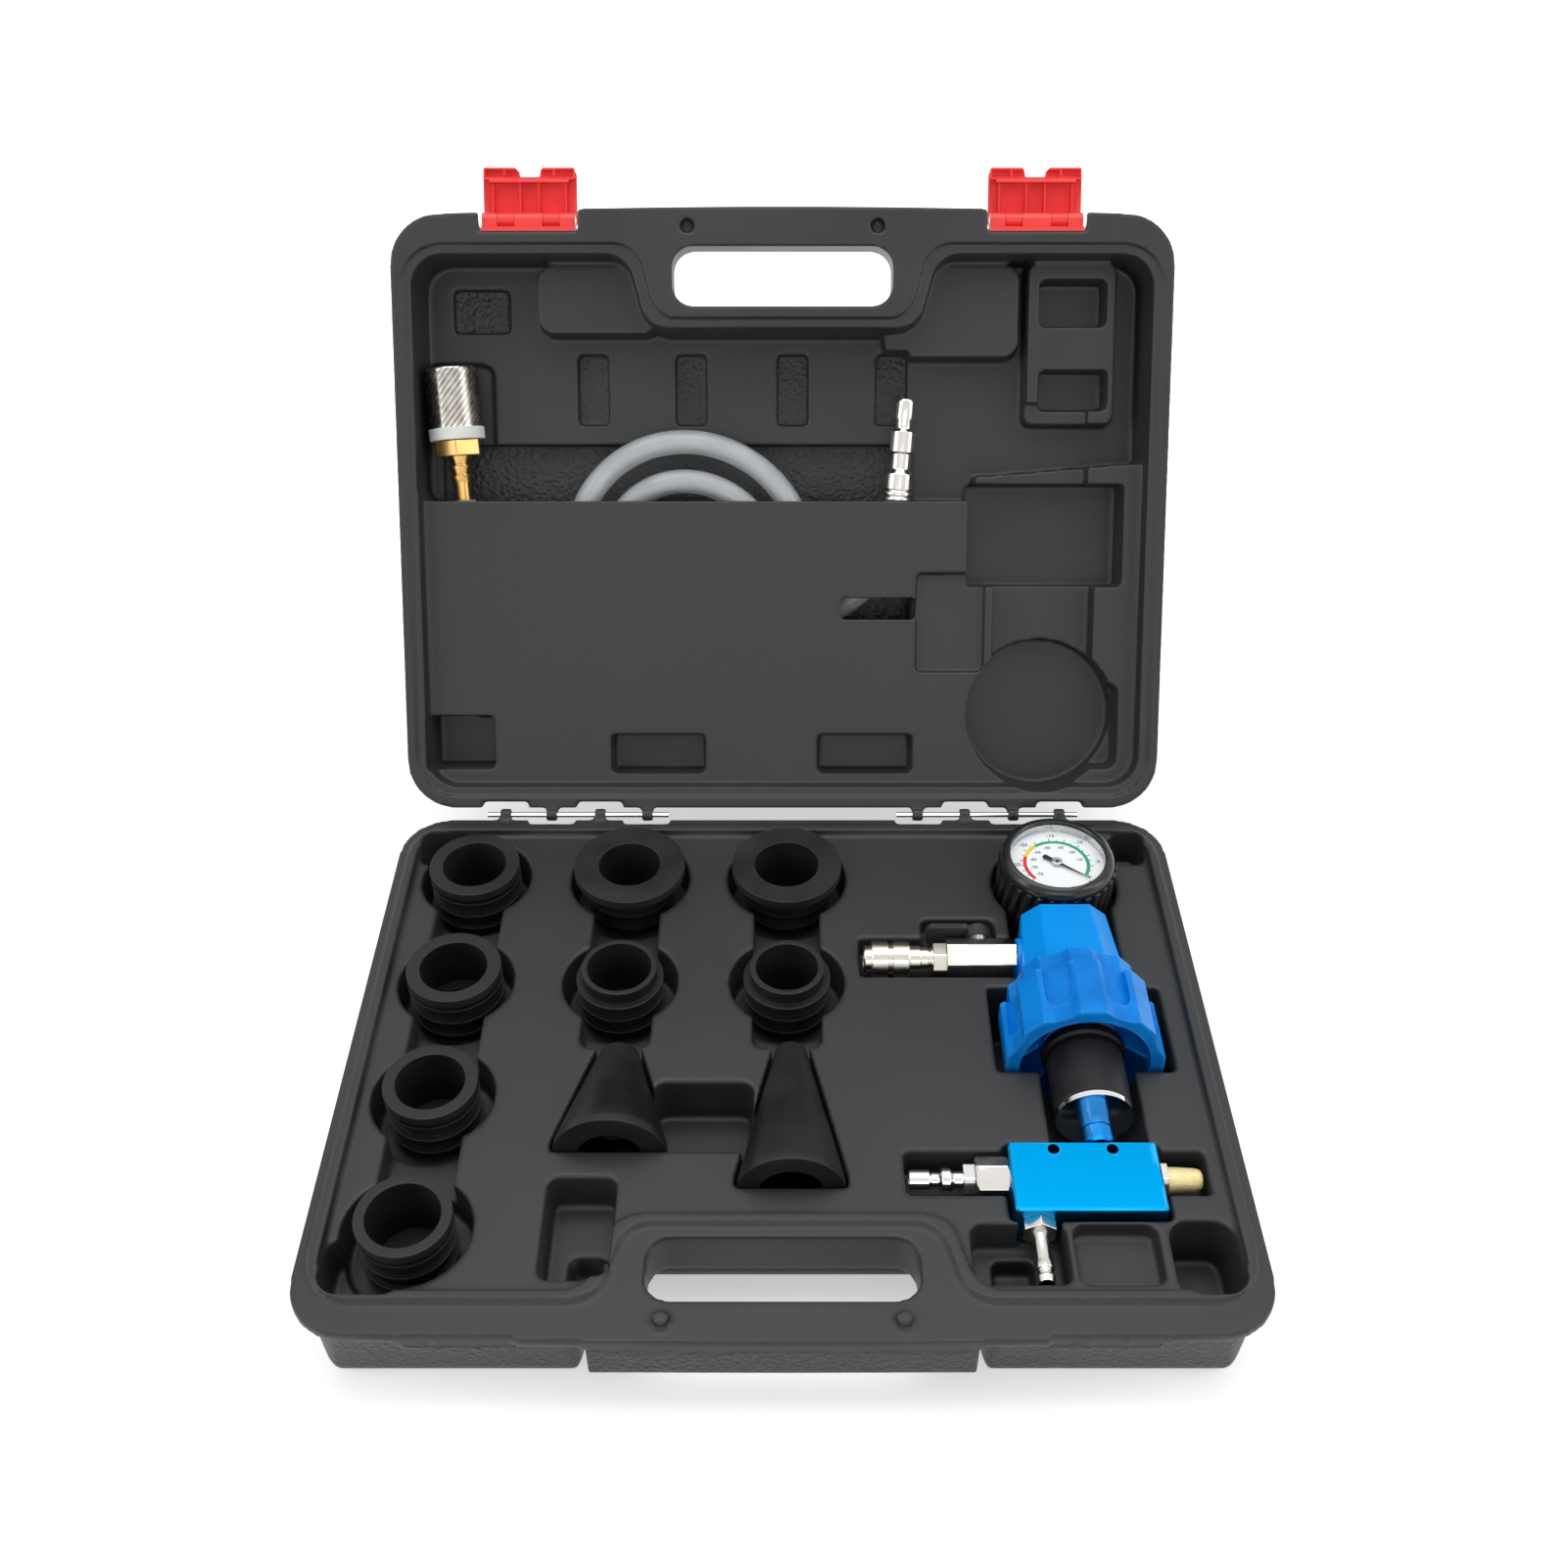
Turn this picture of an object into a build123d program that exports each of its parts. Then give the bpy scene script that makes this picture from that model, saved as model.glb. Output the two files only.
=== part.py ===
from build123d import *
import math
import os

# Coolant vacuum filler kit: a moulded case that opens flat on its back edge, with the venturi
# head, the stepped radiator adapters, the two cones, the venturi block and the clear hose.
# Plan places are given as q, forward of the hinge axis, and d, below (or in the lid, above) the rim.

# ---- case ----
CASE_WIDTH = 380.0
FRONT_ROOM = 57.2
CASE_BACK = 3.5
FRONT_BOW = 4.6
HALF_DEPTH = 45.0
CORNER_R = 24.0
FLANGE_T = 5.0
FLANGE_OVER = 5.5
FRONT_OVER = 7.5
FRONT_RAKE = 6.5
WALL_TAPER_DEG = 3.0
FOOT_R = 7.0
FOOT_SHARES = ((0.62, 18.0), (0.38, 52.0))
RIM_GAP = 0.15
OVERRUN = 20.0
SEAT = 0.3
FLOOR_T = 2.5
SKIN_T = 3.0
BASE_SPLIT_SHARE = 0.174
LID_SPLIT_SHARE = 0.35
GAUGE_ROOM_SHARE = 0.1275

# handle at the front edge of each half
HANDLE_T = 22.0
HANDLE_HALF = 70.0
HANDLE_IN = 53.5
HANDLE_SLOPE = 9.0
HANDLE_CURL_R = 11.0
HANDLE_EDGE_R = 4.0
HANDLE_RAKE = 5.0
SLOT_HALF = 53.5
SLOT_IN = 32.5
SLOT_WIDE = 28.0
SLOT_R = 10.0

# lip of the base and the groove for it in the lid
LIP_SIDE = 5.0
LIP_BACK = 9.6
LIP_IN = 17.5
LIP_NOTCH_HALF = 62.0
LIP_NOTCH_IN = 52.5
LIP_W = 4.3
LIP_UP = 2.0
LIP_CORNER_R = 20.0
LIP_CURL_R = 14.0
LIP_GAP = 0.3
GROOVE_D = 2.5
TRAY_D = 1.5

# pegs at the handle
PEG_X = 46.0
PEG_IN = 9.0
PEG_R = 3.2
PEG_UP = 4.0
PEG_GAP = 0.2
SOCKET_D = 5.0

# hinge
LID_OPEN_DEG = 121.3
KNUCKLE_R = 3.2
KNUCKLE_W = 6.0
HINGE_PIN_R = 1.4
RUN_GAP = 0.05
BASE_KNUCKLE_SHARES = (0.7416, 0.4889)
LID_KNUCKLE_SHARES = (0.6168, 0.3626)
HINGE_NOTCH_W = 23.0
HINGE_NOTCH_D = 3.0
HINGE_PIN_SHARES = (0.305, 0.789)

# latches, on the lid's front edge
LATCH_SHARE = 0.647
LATCH_IN = 5.5
LATCH_D = 7.0
LATCH_W = 45.5
LATCH_REACH = 25.0
LATCH_T = 2.5
LATCH_OFF = 5.5
LATCH_PIN_R = 1.5
LATCH_HUB_R = 3.4
LATCH_HOOK_AT = 17.8
LATCH_HOOK_L = 2.8
LATCH_HOOK_UP = 4.0
LATCH_KNUCKLE_SHARES = (0.31, 0.66)
LATCH_SIDE_GAP = 0.2
LATCH_RIB_SHARES = (-0.78, -0.2, 0.2, 0.78)
LATCH_RIM_AT = 19.4
LATCH_RIM_H = 2.6
LATCH_WEB = 1.2
LATCH_CELL_SHARES = ((-0.93, -0.56), (-0.50, 0.50), (0.56, 0.93))
LATCH_SLOT_HALF = 5.0
LATCH_SLOT_W = 3.0
LATCH_EDGE_R = 1.1
LATCH_DIP_R = 9.0
MOUNT_T = 2.2
MOUNT_TOP = 1.0
MOUNT_H = 12.0
NOTCH_HALF = 24.0
NOTCH_IN = 11.5
NOTCH_D = 18.0
CATCH_HALF = 22.0
CATCH_BACK_IN = 12.5
CATCH_FRONT_IN = 3.0
CATCH_D = 10.5
CATCH_RIB_W = 1.2

# stepped rubber radiator adapters
ADAPTER_UP = 8.0
ADAPTER_H = 30.0
ADAPTER_RIB_R = 21.7
FLANGED_R = 26.8
FLANGED_ROOM = 1.8
CAP_H = 4.5
RIB_COUNT = 3
RIB_PITCH = 8.0
RIB_START = 3.0
RIB_RISE = 3.6
RIB_LAND = 0.9
ADAPTER_WALL = 3.2
POCKET_ROOM = 4.5
LEDGE_H = 5.0
CHANNEL_W = 31.0
COLUMN_SHARES = (-0.787, -0.391, 0.0105)
ROW_SHARES = (0.1513, 0.3798, 0.603, 0.8282)

# rubber cones for filler necks
CONE_SHORT_L = 55.0
CONE_SHORT_R = 24.0
CONE_SHORT_TIP_R = 8.5
CONE_SHORT_CLEAR = 17.8
CONE_SHORT_X_SHARE = -0.379
CONE_LONG_L = 75.0
CONE_LONG_R = 22.5
CONE_LONG_TIP_R = 6.7
CONE_LONG_CLEAR = 15.8
CONE_LONG_X_SHARE = 0.019
CONE_DOWN = 6.3
CONE_BAND = 4.0
CONE_BORE_R = 13.5
CONE_EYE_R = 4.2
CONE_ROOM = 0.8

# head: gauge, body, knob and expander on one axis that runs forward
HEAD_X_SHARE = 0.695
HEAD_DOWN = 3.0
GAUGE_Q = 49.4
HEAD_ROOM = 2.0
KNOB_ROOM = 4.0
KNOB_ROOM_UNDER = 1.5
SLEEVE_ROOM = 3.5
BODY_START = 28.8
BODY_L = 40.0
BODY_BACK_HALF = 20.0
BODY_FRONT_HALF = 23.0
BODY_TOP_BACK = 17.0
BODY_TOP_FRONT = 20.0
BODY_CHAMFER_SHARE = 0.42
SPIGOT_R = 12.0
SPIGOT_L = 12.0
BOSS_R = 9.5
KNOB_GAP = 0.6
KNOB_L = 43.0
KNOB_TIP_R = 35.0
KNOB_VALLEY_R = 32.6
KNOB_LOBES = 8
KNOB_WEB = 20.0
KNOB_WALL = 4.0
KNOB_HUB_R = 11.0
KNOB_HUB_SHORT = 12.5
KNOB_RIB_T = 1.6
KNOB_BACK_L = 12.0
KNOB_BACK_SHARE = 0.86
KNOB_SCOOP_L = 22.0
KNOB_SCOOP_W = 12.0
KNOB_SCOOP_D = 2.2
KNOB_RIB_DOWN = 3.0
KNOB_STEP_R = 19.0
KNOB_EDGE_R = 1.6
TUBE_R = 5.2
TUBE_BORE_R = 2.4
TUBE_IN = 22.0
DRAW = 3.0
THRUST_R = 17.0
THRUST_T = 2.0
RUBBER_FLANGE_R = 18.5
RUBBER_FLANGE_L = 6.0
RUBBER_R = 16.65
RUBBER_L = 36.5
RUBBER_GAP = 0.4
END_WASHER_R = 16.5
END_WASHER_T = 2.4
NUT_R = 7.15
NUT_L = 15.0
NUT_EDGE = 1.2
NUT_GROOVE = 0.8

# gauge
GAUGE_R = 24.4
GAUGE_WALL = 1.2
GAUGE_H = 28.0
GAUGE_FLOOR_T = 2.5
STEM_HEIGHT = 10.5
BOOT_R = 27.2
BOOT_RIB_R = 28.2
BOOT_LIP_R = 22.6
BOOT_LIP_T = 2.2
BOOT_RIBS = 4
DIAL_R = 22.9
DIAL_T = 0.6
DIAL_DOWN = 5.0
LENS_T = 1.6
NEEDLE_L = 18.5
NEEDLE_TAIL = 7.5
NEEDLE_W = 1.3
NEEDLE_T = 0.5
NEEDLE_HUB_R = 2.4
NEEDLE_LIFT = 0.9
NEEDLE_REST_DEG = -37.0
ARBOR_R = 0.8
GAUGE_STEM_R = 4.8
GAUGE_STEM_HEX = 12.0
GAUGE_STEM_IN = 9.0
SOCKET_BLOCK = 9.8
BOURDON_R = 16.5
BOURDON_T = 2.2
BOURDON_H = 6.0
BOURDON_SWEEP_DEG = 240.0

# valve and quick coupler, on an axis that runs to the left
VALVE_AT = 48.4
VALVE_HEX = 17.0
VALVE_L = 32.0
VALVE_FROM_HEAD = 24.0
VALVE_BORE_R = 3.5
BALL_R = 6.0
BALL_GAP = 0.1
SEAT_L = 2.2
NIPPLE_R = 5.0
NIPPLE_L = 19.0
NIPPLE_IN = 7.0
STEM_R = 2.6
STEM_TOP = 17.5
LEVER_T = 3.0
LEVER_L = 24.5
LEVER_H = 11.5
LEVER_HUB_R = 6.0
LEVER_HUB_L = 6.0
SCREW_HEAD_R = 3.2
SCREW_HEAD_T = 2.0
COUPLER_HEX = 13.5
COUPLER_HEX_L = 6.3
COUPLER_NECK_R = 5.75
COUPLER_R = 6.25
COUPLER_L = 38.4
COUPLER_SOCKET_R = 5.0
COUPLER_SOCKET_L = 17.0
COUPLER_STUB = 6.0
SLEEVE_R = 8.65
SLEEVE_L = 17.6
SLEEVE_FROM_NOSE = 3.6
SLEEVE_GAP = 0.1
SLEEVE_GROOVE_W = 2.2
SLEEVE_GROOVE_D = 1.4
SLEEVE_TRAVEL = 3.5
SPRING_R = 7.4
SPRING_L = 7.0
BALL_COUNT = 4
BALL_START_DEG = 45.0
CATCH_BALL_R = 1.2
CATCH_BALL_AT = 8.0

# venturi block and what screws into it
BLOCK_X_SHARE = 0.6513
BLOCK_W = 61.5
BLOCK_L = 33.5
BLOCK_T = 20.0
BLOCK_UP = 3.0
BLOCK_CLEAR = 1.0
BLOCK_EDGE = 0.8
BOLT_R = 2.5
BOLT_SPACING = 24.3
BOLT_BACK = 3.9
PORT_BACK = 12.2
PORT_DOWN = 10.0
PORT_R = 5.4
THROAT_R = 2.2
DIFFUSER_R = 4.4
NOZZLE_L = 21.0
NOZZLE_TIP_R = 2.6
NOZZLE_BORE_R = 1.1
ADAPTER_HEX = 17.0
ADAPTER_HEX_L = 14.0
ADAPTER_STUB = 8.0
AIR_PLUG_L = 27.0
AIR_PLUG_R = 4.5
AIR_PLUG_HEX = 12.5
AIR_PLUG_HEX_L = 5.0
AIR_PLUG_STUB = 6.0
SILENCER_HEX = 13.0
SILENCER_HEX_L = 3.4
SILENCER_STUB = 7.0
SILENCER_L = 14.5
SILENCER_R = 5.4
VACUUM_FROM_END = 10.0
VACUUM_HEX = 13.0
VACUUM_HEX_L = 5.0
VACUUM_L = 22.6
VACUUM_R = 3.9
VACUUM_STUB = 7.0
VACUUM_PORT_R = 4.0

# clear hose, held behind the lid's panel
HOSE_R = 6.0
HOSE_BORE_R = 4.0
COIL_X = -50.0
COIL_BOTTOM = 62.0
COIL_R = 62.5
COIL_STEP = 13.6
COIL_INNER_TOP = 167.5
COIL_CLIMB = 12.8
COIL_STEPS = 60
ROUTE_ARC_SHARE = 0.45
STRAINER_IN = 28.5
STRAINER_Q = 158.0
STRAINER_TILT_DEG = 4.5
STRAINER_DOWN = 2.2
STRAINER_R = 13.2
STRAINER_L = 30.0
STRAINER_WALL = 1.2
COLLAR_R = 13.9
COLLAR_L = 6.0
STRAINER_HEX = 22.0
STRAINER_HEX_L = 8.0
BARB_R = 4.0
BARB_L = 22.0
BARB_BORE_R = 2.6
PLUG_X = 58.0
PLUG_Q = 158.0
PLUG_TILT_DEG = 4.5
PLUG_NOSE_R = 4.9
PLUG_COLLAR_R = 6.4
PLUG_BODY_R = 7.2
PLUG_L = 50.0
PLUG_BORE_R = 2.5

# lid moulding
CAVITY_D = 34.0
PANEL_D = 12.0
PANEL_T = 2.0
HOSE_POCKET_D = 42.5
KNOB_RECESS_ROOM = 2.2
POCKET_TAPER_DEG = 3.0
POCKET_R = 6.0


BODY_Q = GAUGE_Q + BODY_START
KNOB_Q = BODY_Q + BODY_L + KNOB_GAP
HUB_Q = KNOB_Q + KNOB_L - KNOB_HUB_SHORT
THRUST_Q = HUB_Q + KNOB_GAP
RUBBER_Q = THRUST_Q + THRUST_T
END_WASHER_Q = RUBBER_Q + RUBBER_L
NUT_Q = END_WASHER_Q + END_WASHER_T
NUT_END_Q = NUT_Q + NUT_L
BLOCK_Q = NUT_END_Q + BLOCK_CLEAR
CASE_FRONT = BLOCK_Q + BLOCK_L + FRONT_ROOM
HINGE_Y = CASE_FRONT / 2
HANDLE_BACK = CASE_FRONT - HANDLE_IN
SLOT_Q = CASE_FRONT - SLOT_IN
LIP_FRONT = CASE_FRONT - LIP_IN
LIP_NOTCH_Q = CASE_FRONT - LIP_NOTCH_IN
PEG_Q = CASE_FRONT - PEG_IN
LATCH_Q = CASE_FRONT - LATCH_IN
NOTCH_Q = CASE_FRONT - NOTCH_IN
CATCH_BACK = CASE_FRONT - CATCH_BACK_IN
CATCH_FRONT = CASE_FRONT - CATCH_FRONT_IN
STRAINER_X = STRAINER_IN - CASE_WIDTH / 2


def across(share):
    """A place across the case, as a share of half its width."""
    return share * CASE_WIDTH / 2


def fore(share):
    """A place forward of the hinge axis, as a share of the case's depth."""
    return share * CASE_FRONT


def deep(share):
    """A depth, as a share of the depth of one half."""
    return share * HALF_DEPTH


HEAD_X = across(HEAD_X_SHARE)
BLOCK_X = across(BLOCK_X_SHARE)
CONE_SHORT_Q = fore(ROW_SHARES[1]) + ADAPTER_RIB_R + CONE_SHORT_CLEAR
CONE_LONG_Q = fore(ROW_SHARES[1]) + ADAPTER_RIB_R + CONE_LONG_CLEAR
VALVE_Q = GAUGE_Q + VALVE_AT
VALVE_END_X = HEAD_X - VALVE_FROM_HEAD - VALVE_L
HOSE_D = PANEL_D + PANEL_T + HOSE_R + SEAT


# ---- common shapes ----
def turned(points):
    """A solid of revolution about the upright axis through the given radius and height points."""
    kept = [p for p, before in zip(points, [points[-1]] + points[:-1]) if p != before]
    return revolve(make_face(Plane.XZ * Polyline(*kept, close=True)), Axis.Z)


def turned_shares(radius, length, shares, bore=0.0):
    """A turned piece: each row is a radius and a height, as shares of its own two sizes."""
    outline = [(radius * r, length * z) for r, z in shares]
    return turned([(bore, outline[0][1])] + outline + [(bore, outline[-1][1])])


def hexagon(flats, length):
    """A hexagonal prism of the given width across flats."""
    return extrude(RegularPolygon(flats / 2, side_count=6, major_radius=False), length)


def rod(radius, length):
    return extrude(Circle(radius), length)


def forward(shape, q, x=None, down=HEAD_DOWN):
    """Lays a piece that was made upright along the head's axis, starting at q."""
    return Pos(HEAD_X if x is None else x, -q, -down) * Rot(X=90) * shape


def leftward(shape, x, q=None, down=HEAD_DOWN):
    """Lays a piece that was made upright so that it runs to the left from x."""
    return Pos(x, -(VALVE_Q if q is None else q), -down) * Rot(Y=-90) * shape


def sink(outline, top, bottom, side, taper=0.0):
    """A plan outline made solid from one depth to another; side is -1 in the base, 1 in the lid."""
    return extrude(Pos(0, 0, side * top) * outline, amount=bottom - top, dir=(0, 0, side), taper=taper)


def box_between(x0, x1, q0, q1, corner):
    """A rounded plan rectangle between two places across and two places forward."""
    return Pos((x0 + x1) / 2, -(q0 + q1) / 2) * RectangleRounded(abs(x1 - x0), abs(q1 - q0), corner)


def pocket(shares, side, top, taper=POCKET_TAPER_DEG):
    """A rounded pocket from a row of shares: left, right, back, front, depth and corner."""
    x0, x1, q0, q1, depth, corner = shares
    outline = box_between(across(x0), across(x1), fore(q0), fore(q1), corner * POCKET_R)
    return sink(outline, top, deep(depth), side, taper)


def round_at(radius, x, q):
    return Pos(x, -q) * Circle(radius)


# ---- case halves ----
def rim_outline():
    """Outer edge of a half: straight back and sides, a slightly bowed front, round corners."""
    half = CASE_WIDTH / 2
    back_left = (-half, -CASE_BACK)
    back_right = (half, -CASE_BACK)
    front_right = (half, FRONT_BOW - CASE_FRONT)
    front_left = (-half, FRONT_BOW - CASE_FRONT)
    edge = [
        Line(back_left, back_right),
        Line(back_right, front_right),
        ThreePointArc(front_right, (0, -CASE_FRONT), front_left),
        Line(front_left, back_left),
    ]
    face = make_face(edge)
    return fillet(face.vertices(), CORNER_R)


def notched_outline(side_in, back, front, notch_half, notch_q, corner, curl):
    """A rounded rectangle that steps back round the handle with an S-shaped side."""
    half = CASE_WIDTH / 2 - side_in
    wide = notch_half + HANDLE_SLOPE
    points = [
        (-half, -front), (-wide, -front), (-notch_half, -notch_q), (notch_half, -notch_q),
        (wide, -front), (half, -front), (half, -back), (-half, -back),
    ]
    face = make_face(Polyline(*points, close=True))
    corners = [v for v in face.vertices() if abs(v.X) > wide + HANDLE_SLOPE]
    face = fillet(corners, corner)
    curls = [v for v in face.vertices() if abs(v.X) < wide + SEAT and v.Y < -notch_q + SEAT]
    return fillet(curls, curl)


def shell_block(side):
    """One half, before it is hollowed: flange, deep part with round feet, and handle."""
    flange = sink(rim_outline(), 0, FLANGE_T, side)
    outline = notched_outline(
        FLANGE_OVER, CASE_BACK + FLANGE_OVER, CASE_FRONT - FRONT_OVER,
        HANDLE_HALF, HANDLE_BACK, CORNER_R - FLANGE_OVER, HANDLE_CURL_R,
    )
    tub = sink(outline, 0, HALF_DEPTH - FOOT_R, side, WALL_TAPER_DEG)
    tub -= front_wedge(CASE_FRONT - FRONT_OVER, FRONT_RAKE, FLANGE_T, HALF_DEPTH, side)
    for share, taper in FOOT_SHARES:
        sole = tub.faces().sort_by(Axis.Z)[0 if side < 0 else -1]
        tub += extrude(sole, FOOT_R * share, dir=(0, 0, side), taper=taper)
    grip = Pos(0, -(HANDLE_BACK + CASE_FRONT) / 2) * Rectangle(
        2 * HANDLE_HALF + HANDLE_SLOPE, CASE_FRONT - HANDLE_BACK + OVERRUN)
    handle = sink(grip, 0, HANDLE_T, side) & sink(rim_outline(), 0, HANDLE_T, side)
    handle -= front_wedge(CASE_FRONT, HANDLE_RAKE, 0, HANDLE_T, side)
    low = handle.faces().sort_by(Axis.Z)[0 if side < 0 else -1]
    handle = fillet(low.edges().filter_by(Axis.X), HANDLE_EDGE_R)
    slot = box_between(-SLOT_HALF, SLOT_HALF, SLOT_Q - SLOT_WIDE / 2, SLOT_Q + SLOT_WIDE / 2, SLOT_R)
    return flange + tub + handle - sink(slot, -OVERRUN, HANDLE_T + OVERRUN, side)


def front_wedge(front, rake, top, bottom, side):
    """What leans the front wall back, as a long prism with a sloping face."""
    points = [(front, top), (front - rake, bottom), (front - rake, bottom + OVERRUN),
              (front + OVERRUN, bottom + OVERRUN), (front + OVERRUN, top)]
    face = make_face(Plane.YZ * Polyline(*[(-q, side * d) for q, d in points], close=True))
    return Pos(-CASE_WIDTH / 2, 0, 0) * extrude(face, CASE_WIDTH, dir=(1, 0, 0))


def lip_line(grow):
    return notched_outline(
        LIP_SIDE - grow, LIP_BACK - grow, LIP_FRONT + grow,
        LIP_NOTCH_HALF - grow, LIP_NOTCH_Q + grow, LIP_CORNER_R + grow, LIP_CURL_R,
    )


def knuckles(places, side, bore):
    """Hinge knuckles on one half, each a barrel on the axis with a web to the back edge."""
    made = []
    for share in places:
        for way in (-1, 1):
            web = Plane.YZ * Polyline(
                (0, 0), (0, side * KNUCKLE_R), (-CASE_BACK - FLANGE_T, side * FLANGE_T),
                (-CASE_BACK - FLANGE_T, side * RIM_GAP), (0, side * RIM_GAP), close=True)
            barrel = Plane.YZ * Circle(KNUCKLE_R)
            at = Pos(way * across(share) - KNUCKLE_W / 2, 0, 0)
            body = extrude(make_face(web), KNUCKLE_W, dir=(1, 0, 0)) + extrude(barrel, KNUCKLE_W, dir=(1, 0, 0))
            made.append(at * (body - extrude(Plane.YZ * Circle(bore), KNUCKLE_W, dir=(1, 0, 0))))
    return made


def hinge_notches(places, side):
    """Room in the back edge for the other half's knuckles."""
    cuts = []
    for share in places:
        for way in (-1, 1):
            x = way * across(share)
            outline = Pos(x, -CASE_BACK) * Rectangle(HINGE_NOTCH_W, 2 * HINGE_NOTCH_D)
            cuts.append(sink(outline, -OVERRUN, FLANGE_T + SEAT, side))
    return cuts


# left, right, back, front, depth and corner of each pocket, as shares
BASE_POCKET_SHARES = (
    (-0.95, -0.76, 0.835, 0.935, 0.42, 1.6),
    (-0.95, -0.81, 0.045, 0.121, 0.42, 1.0),
    (0.85, 0.95, 0.045, 0.121, 0.42, 1.0),
    (0.80, 0.95, 0.81, 0.935, 0.62, 1.6),
    (-0.51, -0.348, 0.74, 0.908, 0.45, 1.0),
    (-0.463, -0.358, 0.825, 0.905, 0.72, 1.0),
    (-0.30, -0.058, 0.573, 0.703, 0.55, 1.2),
    (0.385, 0.60, 0.815, 0.915, 0.40, 1.0),
    (0.43, 0.54, 0.835, 0.90, 0.60, 0.8),
    (0.60, 0.79, 0.815, 0.915, 0.22, 1.0),
)


def column_room(x, rows, radii):
    """The pockets of one column of adapters and the channel that joins them."""
    bottom = ADAPTER_H - ADAPTER_UP + SEAT
    last = fore(ROW_SHARES[rows - 1]) if rows > 2 else CONE_SHORT_Q
    first = fore(ROW_SHARES[0])
    cuts = [sink(box_between(x - CHANNEL_W / 2, x + CHANNEL_W / 2, first, last, POCKET_R),
                 -OVERRUN, bottom * 2 / 3, -1)]
    for i, radius in enumerate(radii):
        cuts.append(sink(round_at(radius, x, fore(ROW_SHARES[i])), -OVERRUN, bottom, -1))
    return cuts


def cone_room(x, q, length, radius, tip):
    """A lying cone's pocket: round below its axis and open above."""
    r, t, n = radius + CONE_ROOM, tip + CONE_ROOM, CONE_ROOM
    round_part = turned([(0, -n), (t, -n), (r, length - CONE_BAND), (r, length + n), (0, length + n)])
    plan = make_face(Polyline(
        (x - t, -q + n), (x + t, -q + n), (x + r, -q - length + CONE_BAND), (x + r, -q - length - n),
        (x - r, -q - length - n), (x - r, -q - length + CONE_BAND), close=True))
    return [forward(round_part, q, x, CONE_DOWN), sink(plan, -OVERRUN, CONE_DOWN, -1)]


def lying_room(radius, x, q0, q1, down):
    """Room for a round piece lying along the case, open above its axis."""
    barrel = forward(rod(radius, q1 - q0), q0, x, down)
    plan = box_between(x - radius, x + radius, q0, q1, SEAT)
    return [barrel, sink(plan, -OVERRUN, down, -1)]


def head_room_cuts():
    """Pockets of the base for the head, the valve line and the venturi block."""
    room = HEAD_ROOM
    gauge_floor = HEAD_DOWN + STEM_HEIGHT + SEAT
    knob = KNOB_TIP_R + KNOB_ROOM
    cuts = [sink(round_at(BOOT_RIB_R + room, HEAD_X, GAUGE_Q), -OVERRUN, gauge_floor, -1)]
    cuts.append(sink(box_between(HEAD_X - BODY_FRONT_HALF - room, HEAD_X + BODY_FRONT_HALF + room,
                                 GAUGE_Q, KNOB_Q, SEAT), -OVERRUN, HEAD_DOWN + BODY_TOP_FRONT + SEAT, -1))
    cuts.append(sink(box_between(HEAD_X - knob, HEAD_X + knob, KNOB_Q - room, KNOB_Q + KNOB_L + KNOB_ROOM, room),
                     -OVERRUN, HEAD_DOWN + KNOB_TIP_R + KNOB_ROOM_UNDER, -1))
    cuts += lying_room(RUBBER_FLANGE_R + room, HEAD_X, KNOB_Q, NUT_END_Q, HEAD_DOWN)
    valve_left = VALVE_END_X - COUPLER_L - room
    sleeve = SLEEVE_R + SLEEVE_ROOM
    cuts.append(sink(box_between(valve_left, HEAD_X, VALVE_Q - sleeve, VALVE_Q + sleeve, SEAT),
                     -OVERRUN, HEAD_DOWN + SLEEVE_R + room, -1))
    lever_back = VALVE_Q - STEM_TOP - LEVER_HUB_L / 2 - SCREW_HEAD_T
    stem_x = VALVE_END_X + VALVE_L / 2
    cuts.append(sink(box_between(stem_x - LEVER_L - room, stem_x + LEVER_HUB_R + room, lever_back - room,
                                 VALVE_Q, POCKET_R / 2), -OVERRUN, HEAD_DOWN + LEVER_HUB_R + room, -1))
    return cuts + block_cuts()


def block_cuts():
    room = HEAD_ROOM
    floor = BLOCK_T - BLOCK_UP + SEAT
    left, right = BLOCK_X - BLOCK_W / 2, BLOCK_X + BLOCK_W / 2
    port_q, port_d = BLOCK_Q + PORT_BACK, PORT_DOWN - BLOCK_UP
    half = ADAPTER_HEX / math.sqrt(3) + room / 2
    plug_end = left - ADAPTER_HEX_L - AIR_PLUG_L
    vac_x = left + VACUUM_FROM_END
    vac_half = VACUUM_HEX / math.sqrt(3) + room / 2
    rows = (
        (left - room, right + room, BLOCK_Q - room, BLOCK_Q + BLOCK_L + room, floor),
        (plug_end - room, left, port_q - half, port_q + half, port_d + half),
        (right, right + SILENCER_HEX_L + SILENCER_L + room, port_q - half, port_q + half, port_d + half),
        (vac_x - vac_half, vac_x + vac_half, BLOCK_Q + BLOCK_L, BLOCK_Q + BLOCK_L + VACUUM_HEX_L + VACUUM_L + room,
         port_d + vac_half),
    )
    return [sink(box_between(x0, x1, q0, q1, room), -OVERRUN, d, -1) for x0, x1, q0, q1, d in rows]


def peg_places():
    return [(way * PEG_X, PEG_Q) for way in (-1, 1)]


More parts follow.
